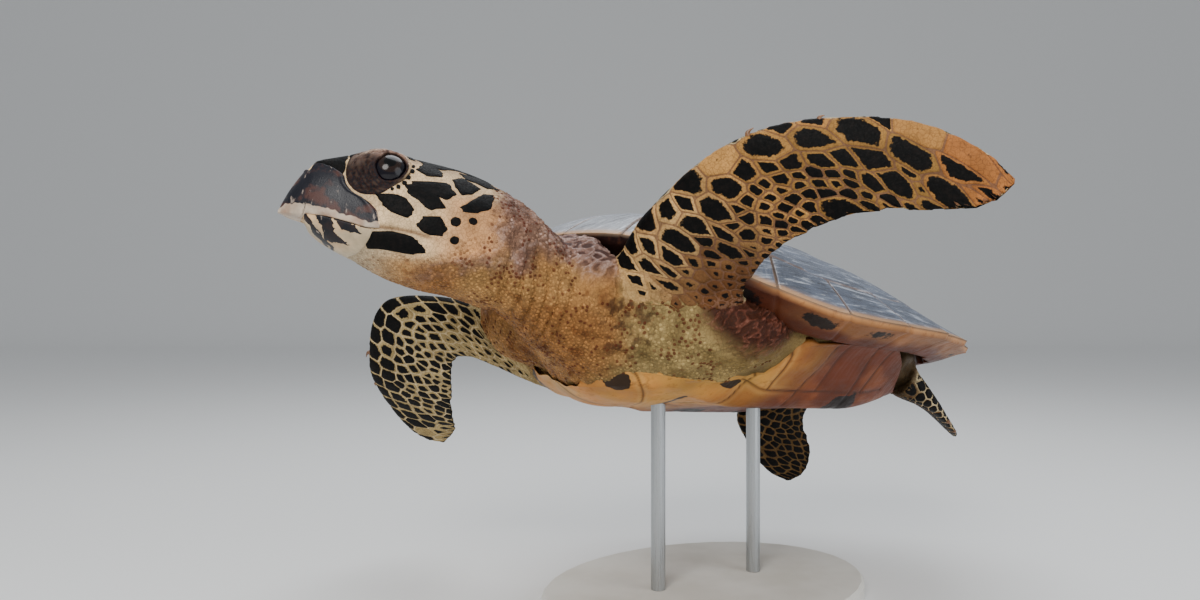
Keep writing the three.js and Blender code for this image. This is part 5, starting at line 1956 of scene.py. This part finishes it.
# The five scutes along the back: where they meet and where they are widest, as shares of the shell's
# length, and half their width there and where they meet (mm).
VERTEBRAL_SEAMS = (0.075, 0.235, 0.415, 0.6, 0.775, 0.93)
VERTEBRAL_MIDDLES = (0.175, 0.325, 0.5075, 0.6875, 0.8525)
VERTEBRAL_WIDEST = (47, 51, 49, 43, 35)
VERTEBRAL_JOINS = (22, 20, 18, 16, 14)
# Where the four scutes on each side of them meet beside the rim scutes; how far out the rim scutes begin,
# and how far out these end, as shares of the way to the edge.
COSTAL_SEAMS = (0.045, 0.33, 0.515, 0.7, 0.9)
INNER_RIM, OUTER_RIM = 0.8, 0.998
COSTAL_REACH = INNER_RIM - 0.006
# Behind the neck the rim scutes begin further out, up to this turn.
NUCHAL_TURN, NUCHAL_RIM = 0.03, 0.86


def plan_y(t):
    """The place along the shell (mm) at this share of its length from the front."""
    return SHELL_LENGTH * (t - 0.5)


def plan_turn(t):
    """How far round the rim that place is on the left side."""
    return np.arccos(np.clip(1 - 2 * t, -1, 1)) / np.pi / 2


def on_rim(t, share):
    """The place on the left of the plan that is this share of the way out to the rim at t of the length."""
    edge = rim(np.asarray(plan_turn(np.asarray(t, float))))
    return np.array([edge[..., 0] * share, edge[..., 1] * share])


class ShellScutes:
    """Collects the plates over the shell and makes one mesh of them."""

    def __init__(self):
        self.points, self.faces, self.tints, self.cores, self.darks = [], [], [], [], []
        self.count = 0

    def add(self, outline, tint, front_drop=1.9, count=72, pale=0.0):
        """A plate over the shell, thick at its rear edge, which lies over the front of the next one."""
        reaches = (1.0, 0.985, 0.95, 0.88, 0.75, 0.58, 0.38, 0.18)
        heights = (-2.2, -0.5, -0.1, 0, 0, 0, 0, 0)
        grid, centre = scute_rings(outline, reaches, count)
        flat = np.concatenate([grid.reshape(-1, 2), centre[None]])
        turn, rho = turn_and_reach(flat[:, 0], flat[:, 1])
        rho = np.minimum(rho, 0.999)
        edge = rim(turn)
        surface_points = carapace_top(rho, edge)
        edge_drop = np.concatenate([np.repeat(heights, count), [0]])
        y = flat[:, 1]
        back = (y - y.min()) / (np.ptp(y) + 1e-6)
        dropped = front_drop * (1 - smooth(0, 0.75, back)) * smooth(1, 0.94, rho)
        surface_points[:, 2] += edge_drop * smooth(1.02, 0.97, rho) - dropped
        faces = nested_faces(len(reaches), count)
        a, b, c = (surface_points[i] for i in (0, count // 3, 2 * count // 3))
        if np.cross(b - a, c - a)[2] < 0:
            faces = faces[:, ::-1]
        self.points.append(surface_points)
        self.faces.append(faces + self.count)
        core = np.concatenate([np.repeat(1 - np.array(reaches), count), [1]])
        self.cores.append(core)
        # Whitened towards the shell's front: painted sheen of the grazing light there.
        tone_shift = smooth(-110, -235, surface_points[:, 1] + 12 * noise(surface_points, 30, 5)) * 0.55
        shade = mix(tint, FRONT_SHEEN_WHITE, tone_shift[:, None])
        self.tints.append(shade * (1 + 0.12 * noise(surface_points, 40, 3))[:, None])
        seam = smooth(0.05, 0.0, core) * 0.35
        rim_share = smooth(0.968, 0.99, rho) * pale
        self.darks.append(np.maximum(seam, rim_share))
        self.count += len(surface_points)

    def piece(self):
        made = build_mesh("carapace_scutes", placed(np.vstack(self.points)), np.vstack(self.faces))
        cores, darks = np.concatenate(self.cores), np.concatenate(self.darks)
        set_points(made, tint=np.vstack(self.tints), core=cores, dark=darks)
        return finished(made, carapace_horn, "carapace")


def mirrored(outline):
    """The outline on the other side of the plan."""
    return [(-x, y) for x, y in outline][::-1]


def lay_shell():
    """The rim scutes, the row along the back, the rows on each side of it, and the one behind the neck."""
    scutes = ShellScutes()
    half_gap = 0.0006
    for side in (1, -1):
        for k in range(MARGINALS):
            steps = np.linspace(k / MARGINALS / 2 + half_gap, (k + 1) / MARGINALS / 2 - half_gap, 9)
            inner_share = np.where(steps < NUCHAL_TURN, NUCHAL_RIM, INNER_RIM)
            outer, inner = rim(steps) * OUTER_RIM, rim(steps) * inner_share[:, None]
            outline = [tuple(p[:2]) for p in (*outer, *inner[::-1])]
            outline = outline if side > 0 else mirrored(outline)
            scutes.add(outline, SLATE * 0.92, 0.5, 80, pale=0.9)
    for k in range(5):
        start, end = plan_y(VERTEBRAL_SEAMS[k]), plan_y(VERTEBRAL_SEAMS[k + 1])
        front = 30 if k == 0 else VERTEBRAL_JOINS[k - 1]
        widest = (VERTEBRAL_WIDEST[k] - 0.6, plan_y(VERTEBRAL_MIDDLES[k]))
        left = [(front, start), widest, (VERTEBRAL_JOINS[k], end)]
        if k == 4:
            left = left[:2] + [tuple(on_rim(t, COSTAL_REACH)) for t in (0.905, 0.93, 0.955, 0.98, 0.995)]
        middle = [(0, end + 9)] if k < 4 else []
        scutes.add(left + middle + mirrored(left), SLATE, 2.2, 96)
    for side in (1, -1):
        for k in range(4):
            inner = [
                (VERTEBRAL_WIDEST[k] + 1, plan_y(VERTEBRAL_MIDDLES[k])),
                (VERTEBRAL_JOINS[k] + 1.5, plan_y(VERTEBRAL_SEAMS[k + 1])),
                (VERTEBRAL_WIDEST[k + 1] + 1, plan_y(VERTEBRAL_MIDDLES[k + 1])),
            ]
            if k == 0:
                inner = [(32, plan_y(0.08))] + inner
            places = np.linspace(COSTAL_SEAMS[k + 1], COSTAL_SEAMS[k], 7)
            outline = inner + [tuple(on_rim(t, COSTAL_REACH)) for t in places]
            outline = outline if side > 0 else mirrored(outline)
            scutes.add(outline, SLATE, 2.2, 96)
    nuchal = [(-27, plan_y(0.028)), (27, plan_y(0.028)), (33, plan_y(0.078)), (-33, plan_y(0.078))]
    scutes.add(nuchal, SLATE * 0.95, 0.8)
    scutes.piece()


shell_base()
lay_shell()


# ---- The plastron ----

# Where its scutes meet along the middle line, and how much further back they meet at the sides.
PLASTRON_SEAMS = ((0.165, -0.1), (0.27, 0.05), (0.43, 0.04), (0.62, -0.04), (0.8, -0.05))
PLASTRON_LENGTH = PLASTRON_REAR - PLASTRON_FRONT
# The bridges to the shell: from where to where along it, how far out they begin (mm), and their scutes'
# length as a share of its own.
BRIDGE_START, BRIDGE_END = 0.3, 0.7
BRIDGE_SEAM = 104
BRIDGE_PITCH = 0.133
# Stands for a height or a distance (mm) where there is no skin or no groove.
NONE_NEAR = 99.0
# Black blotches on it: x and y in the body's own frame, half width and half length (mm).
BLOTCHES = [
    (74, -208, 11, 18), (46, -132, 24, 4), (101, -107, 5, 13), (58, -40, 20, 12), (88, 28, 15, 20),
    (40, 78, 16, 10), (26, 140, 9, 16), (-72, -204, 12, 12), (-60, -140, 16, 6), (-92, -92, 8, 14),
    (-62, -32, 14, 17), (-84, 36, 18, 12), (-46, 88, 11, 14), (-24, 146, 11, 10),
]


def skin_above(places):
    """The height of the skin's under side over these places of the body frame, or NONE_NEAR."""
    starts = placed(stack(places[:, 0], places[:, 1], -130))
    hits, _ = skinned.cast(starts, BODY @ np.array([0.0, 0.0, 1.0]))
    found = in_body(hits)
    missed = (np.hypot(*(found - places)[:, :2].T) > 2) | (found[:, 2] > 10)
    return np.where(missed, NONE_NEAR, found[:, 2])


def spread(heights, known):
    """Heights known at some grid places, carried smoothly to the others, with how near a known one is."""
    near = known.astype(float)
    held = np.where(known, heights, 0.0)
    for _ in range(24):
        for grid in (held, near):
            grid[:] = (np.roll(grid, 1, 1) + 2 * grid + np.roll(grid, -1, 1)) / 4
            grid[1:-1] = (grid[2:] + 2 * grid[1:-1] + grid[:-2]) / 4
    return held / np.maximum(near, 1e-6), smooth(0.1, 0.6, near)


def plastron_piece():
    """The under shell as one closed slab laid against the skin, its scutes parted by grooves."""
    rows, columns = 260, 190
    s, v = grid_over(np.linspace(0, 1, rows), 2 * columns)
    across = power(np.cos(2 * np.pi * v), 0.8)
    below = v < 0.5
    points = plastron_under(s, across * 0.995)
    points[..., 0] *= 1 + 0.11 * smooth(0.34, 0.26, s)
    skin_height = np.full(s.shape, NONE_NEAR)
    near_skin = s[:, 0] < 0.5
    half = points[near_skin][:, : columns + 1]
    height = skin_above(half.reshape(-1, 3)).reshape(half.shape[:2])
    skin_height[near_skin, : columns + 1] = height
    skin_height[near_skin, columns + 1 :] = height[:, columns - 1 : 0 : -1]
    skin_height, near = spread(skin_height, skin_height < NONE_NEAR)
    over = np.maximum(points[..., 2] - (skin_height - 3.2) + 4, 0)
    hugging = np.where(over > 8, over - 4, over**2 / 16) * near
    climb = smooth(0.62, 0.95, np.abs(across)) * smooth(0.37, 0.3, s) * near
    hugging = hugging - climb * np.clip(skin_height - 3.0 - points[..., 2], 0, 12)
    for _ in range(5):
        around = (np.roll(hugging, 1, 1) + np.roll(hugging, -1, 1)) / 2
        hugging = (hugging + around) / 2
        hugging[1:-1] = (hugging[1:-1] * 2 + hugging[2:] + hugging[:-2]) / 4
    bottom = points[..., 2] - hugging
    side = np.abs(points[..., 0])
    rounded = (1 - np.abs(across) ** 14) * smooth(0, 0.008, s) * smooth(1, 0.985, s)
    shelf = mix(10, 4, smooth(0.3, 0.2, s))
    reach_up = mix(shelf, np.clip(skin_height + 5 - bottom, shelf, 45), near)
    thick = mix(1.0, reach_up, np.maximum(rounded, smooth(0.42, 0.36, s)))
    gaps = [np.abs(s - (seam + sweep * across**2)) * PLASTRON_LENGTH for seam, sweep in PLASTRON_SEAMS]
    gaps.append(np.abs(side - 0.4))
    bridge = (s > BRIDGE_START) & (s < BRIDGE_END)
    gaps.append(np.where(bridge, np.abs(side - BRIDGE_SEAM), NONE_NEAR))
    from_seam = np.abs(np.mod((s - BRIDGE_START) / BRIDGE_PITCH, 1) - 0.5) * BRIDGE_PITCH * PLASTRON_LENGTH
    gaps.append(np.where(bridge & (side > BRIDGE_SEAM), from_seam, NONE_NEAR))
    nearest = np.min(gaps, axis=0)
    groove = 0.9 * bump(nearest, 0, 1.0) + 0.35 * bump(nearest, 3.2, 1.6)
    lip = 3.0 * smooth(0.86, 1.0, np.abs(across)) * smooth(0.36, 0.28, s)
    points[..., 2] = bottom + np.where(below, groove - 0.25 + lip, thick - 0.2)
    flat = points.reshape(-1, 3)
    made = build_mesh("plastron_scutes", placed(flat), ring_quads(rows, 2 * columns, turned=True))
    mottled = noise(flat, 36, 4)
    rust = smooth(-118, -50, flat[:, 1] + 10 * mottled - 26 * smooth(88, 112, np.abs(flat[:, 0])))
    tint = blended(
        flat,
        [
            (colour("b9883f"), 1),
            (colour("b87236"), 0.35 + 0.5 * mottled),
            (colour("5a2812"), rust),
            (colour("7e4420"), rust * smooth(0.0, 0.8, noise(flat, 20, 14)) * 0.6),
            (colour("2c150b"), bump(nearest.ravel(), 0, 0.9) * 0.85),
            (colour("c79a58"), bump(nearest.ravel(), 3.4, 1.6) * (1 - rust) * 0.4),
        ],
    )
    dark = np.zeros(len(flat))
    for x, y, wide, long in BLOTCHES:
        away = np.hypot((flat[:, 0] - x) / wide, (flat[:, 1] - y) / long)
        dark = np.maximum(dark, smooth(1.25, 0.75, away + 0.25 * noise(flat, 12, 8)) * 0.75)
    set_points(made, tint=tint, dark=dark * below.ravel(), core=np.minimum(nearest, 30).ravel() / 30)
    return finished(made, plastron_horn, "plastron", "plastron")


plastron_piece()

# ---- Claws and stand ----


def claw_material():
    """Brown horn with fine lines along the claw."""
    s = Shade("claw")
    broad = s.noise(160, 3)
    lines = s.noise(1, 3, 0.6, s.stretched((900, 900, 140)))
    tone = s.mixed(s.between(broad, 0.3, 0.7), colour("8a5f38"), colour("5c3a20"))
    tone = s.mixed(s.between(lines, 0.5, 0.7, 0, 0.6), tone, colour("4a3322"))
    return s.finish(tone, s.between(broad, 0.3, 0.7, 0.3, 0.45), lines, 0.0002, 0.5, coat=0.2)


claw_horn = claw_material()


def claw(name, point, u, length, radius):
    """A short curved cone on the leading edge, pointing out and along."""
    root = point(u, 0.0)
    along = unit(point(u + 0.02, 0.0) - point(u - 0.02, 0.0))
    out = unit(root - point(u, 0.5))
    sunk = 2.5
    start = root - sunk * out
    bend = start + out * length * 0.55
    tip = start + out * length * 0.6 + along * length * 0.9
    across = unit(np.cross(out, along))
    rings, around = 26, 20
    w, v = (share[..., None] for share in grid_over(np.linspace(0, 1, rings), around))
    middle = (1 - w) ** 2 * start + 2 * w * (1 - w) * bend + w**2 * tip
    ahead = unit(2 * (1 - w) * (bend - start) + 2 * w * (tip - bend))
    side = unit(np.cross(ahead, across))
    r = radius * mix(1, 0.1, w**1.2) * (1 - 0.06 * np.cos(w * 40) * (1 - w))
    grid = middle + across * r * np.sin(2 * np.pi * v) + side * r * np.cos(2 * np.pi * v)
    points = np.vstack([grid.reshape(-1, 3), grid[-1].mean(0)])
    j, last = np.arange(around), (rings - 1) * around
    cap = np.stack([last + j, last + (j + 1) % around, np.full(around, rings * around)], -1)
    made = build_mesh("horn_" + name, placed(points), ring_quads(rings, around), cap)
    finished(made, claw_horn, "claw", name)


for side in ("left", "right"):
    for i, u in enumerate((0.56, 0.68)):
        claw(f"claw_fore_{side}_{i + 1}", FLIPPERS["fore_" + side], u, 8 - 2 * i, 2.6 - 0.4 * i)
    for i, u in enumerate((0.6, 0.76)):
        claw(f"claw_hind_{side}_{i + 1}", FLIPPERS["hind_" + side], u, 7 - 2 * i, 2.3 - 0.3 * i)


def painted_wood():
    """Off-white paint with faint wear."""
    s = Shade("stand_base")
    broad, fine = s.noise(14, 3), s.noise(900, 2)
    tone = s.mixed(s.between(broad, 0.3, 0.7), colour("d9d6ce"), colour("cbc7bd"))
    tone = s.mixed(s.between(fine, 0.62, 0.8, 0, 0.25), tone, colour("a39d90"))
    return s.finish(tone, s.between(broad, 0.3, 0.7, 0.42, 0.55), fine, 0.00008, 0.4)


def brushed_steel():
    """Steel brushed along the rod."""
    s = Shade("stand_rod")
    brushed = s.noise(1, 4, 0.7, s.stretched((1400, 1400, 30)))
    tone = s.mixed(brushed, colour("8d9092"), colour("c4c7c9"))
    s.shader.inputs["Metallic"].default_value = 1.0
    return s.finish(tone, s.between(brushed, 0.3, 0.7, 0.24, 0.4), brushed, 0.00005, 0.5)


base_paint, rod_steel = painted_wood(), brushed_steel()
STAND = {"stand_base": base_paint, "stand_rod_front": rod_steel, "stand_rod_rear": rod_steel}
for name, material in STAND.items():
    for place in frame["nodes"][name].material_slots:
        place.material = material

# ---- Floor, backdrop and lights ----


def plain(name, rgb, rough):
    """An even material for the stage."""
    made = bpy.data.materials.new(name)
    made.use_nodes = True
    shader = made.node_tree.nodes["Principled BSDF"]
    shader.inputs["Base Color"].default_value = (*rgb, 1)
    shader.inputs["Roughness"].default_value = rough
    return made


def stage_sheet():
    """The floor, curved up into a backdrop behind, as one smooth sheet round the camera's line of sight."""
    ahead = np.array([-0.8706, 0.4913])
    side = np.array([0.4913, 0.8706])
    reach = np.linspace(-9.0, 7.0, 90)
    height = 5 * np.clip((reach - 4.5) / 2.5, 0, 1) ** 2.2
    wide = np.linspace(-12, 12, 2)
    flat = np.array([[*(r * ahead + w * side), h] for r, h in zip(reach, height) for w in wide])
    quads = [[2 * i, 2 * i + 1, 2 * i + 3, 2 * i + 2] for i in range(len(reach) - 1)]
    return build_mesh("floor", flat, quads)


floor = stage_sheet()
floor.data.materials.append(plain("floor", (0.8, 0.8, 0.79), 0.7))


def area_light(name, at, target, size, power_w, tone=(1, 1, 1)):
    """A round lamp aimed at a place."""
    made = bpy.data.objects.new(name, bpy.data.lights.new(name, "AREA"))
    made.data.shape = "DISK"
    made.data.size = size
    made.data.energy = power_w
    made.data.color = tone
    made.location = at
    made.rotation_mode = "QUATERNION"
    made.rotation_quaternion = (Vector(target) - Vector(at)).to_track_quat("-Z", "Y")
    bpy.context.scene.collection.objects.link(made)


area_light("key", (1.3, -1.5, 1.5), (0, 0, 0.22), 1.2, 42, (1, 0.98, 0.94))
area_light("fill", (1.6, 0.9, 0.7), (0, 0, 0.22), 1.6, 16, (0.93, 0.96, 1))
area_light("top", (-0.5, 0.3, 1.9), (0, 0, 0.25), 1.6, 22, (0.92, 0.96, 1))
world = bpy.data.worlds.new("studio")
world.use_nodes = True
world.node_tree.nodes["Background"].inputs["Color"].default_value = (0.78, 0.81, 0.85, 1)
world.node_tree.nodes["Background"].inputs["Strength"].default_value = 0.55
bpy.context.scene.world = world
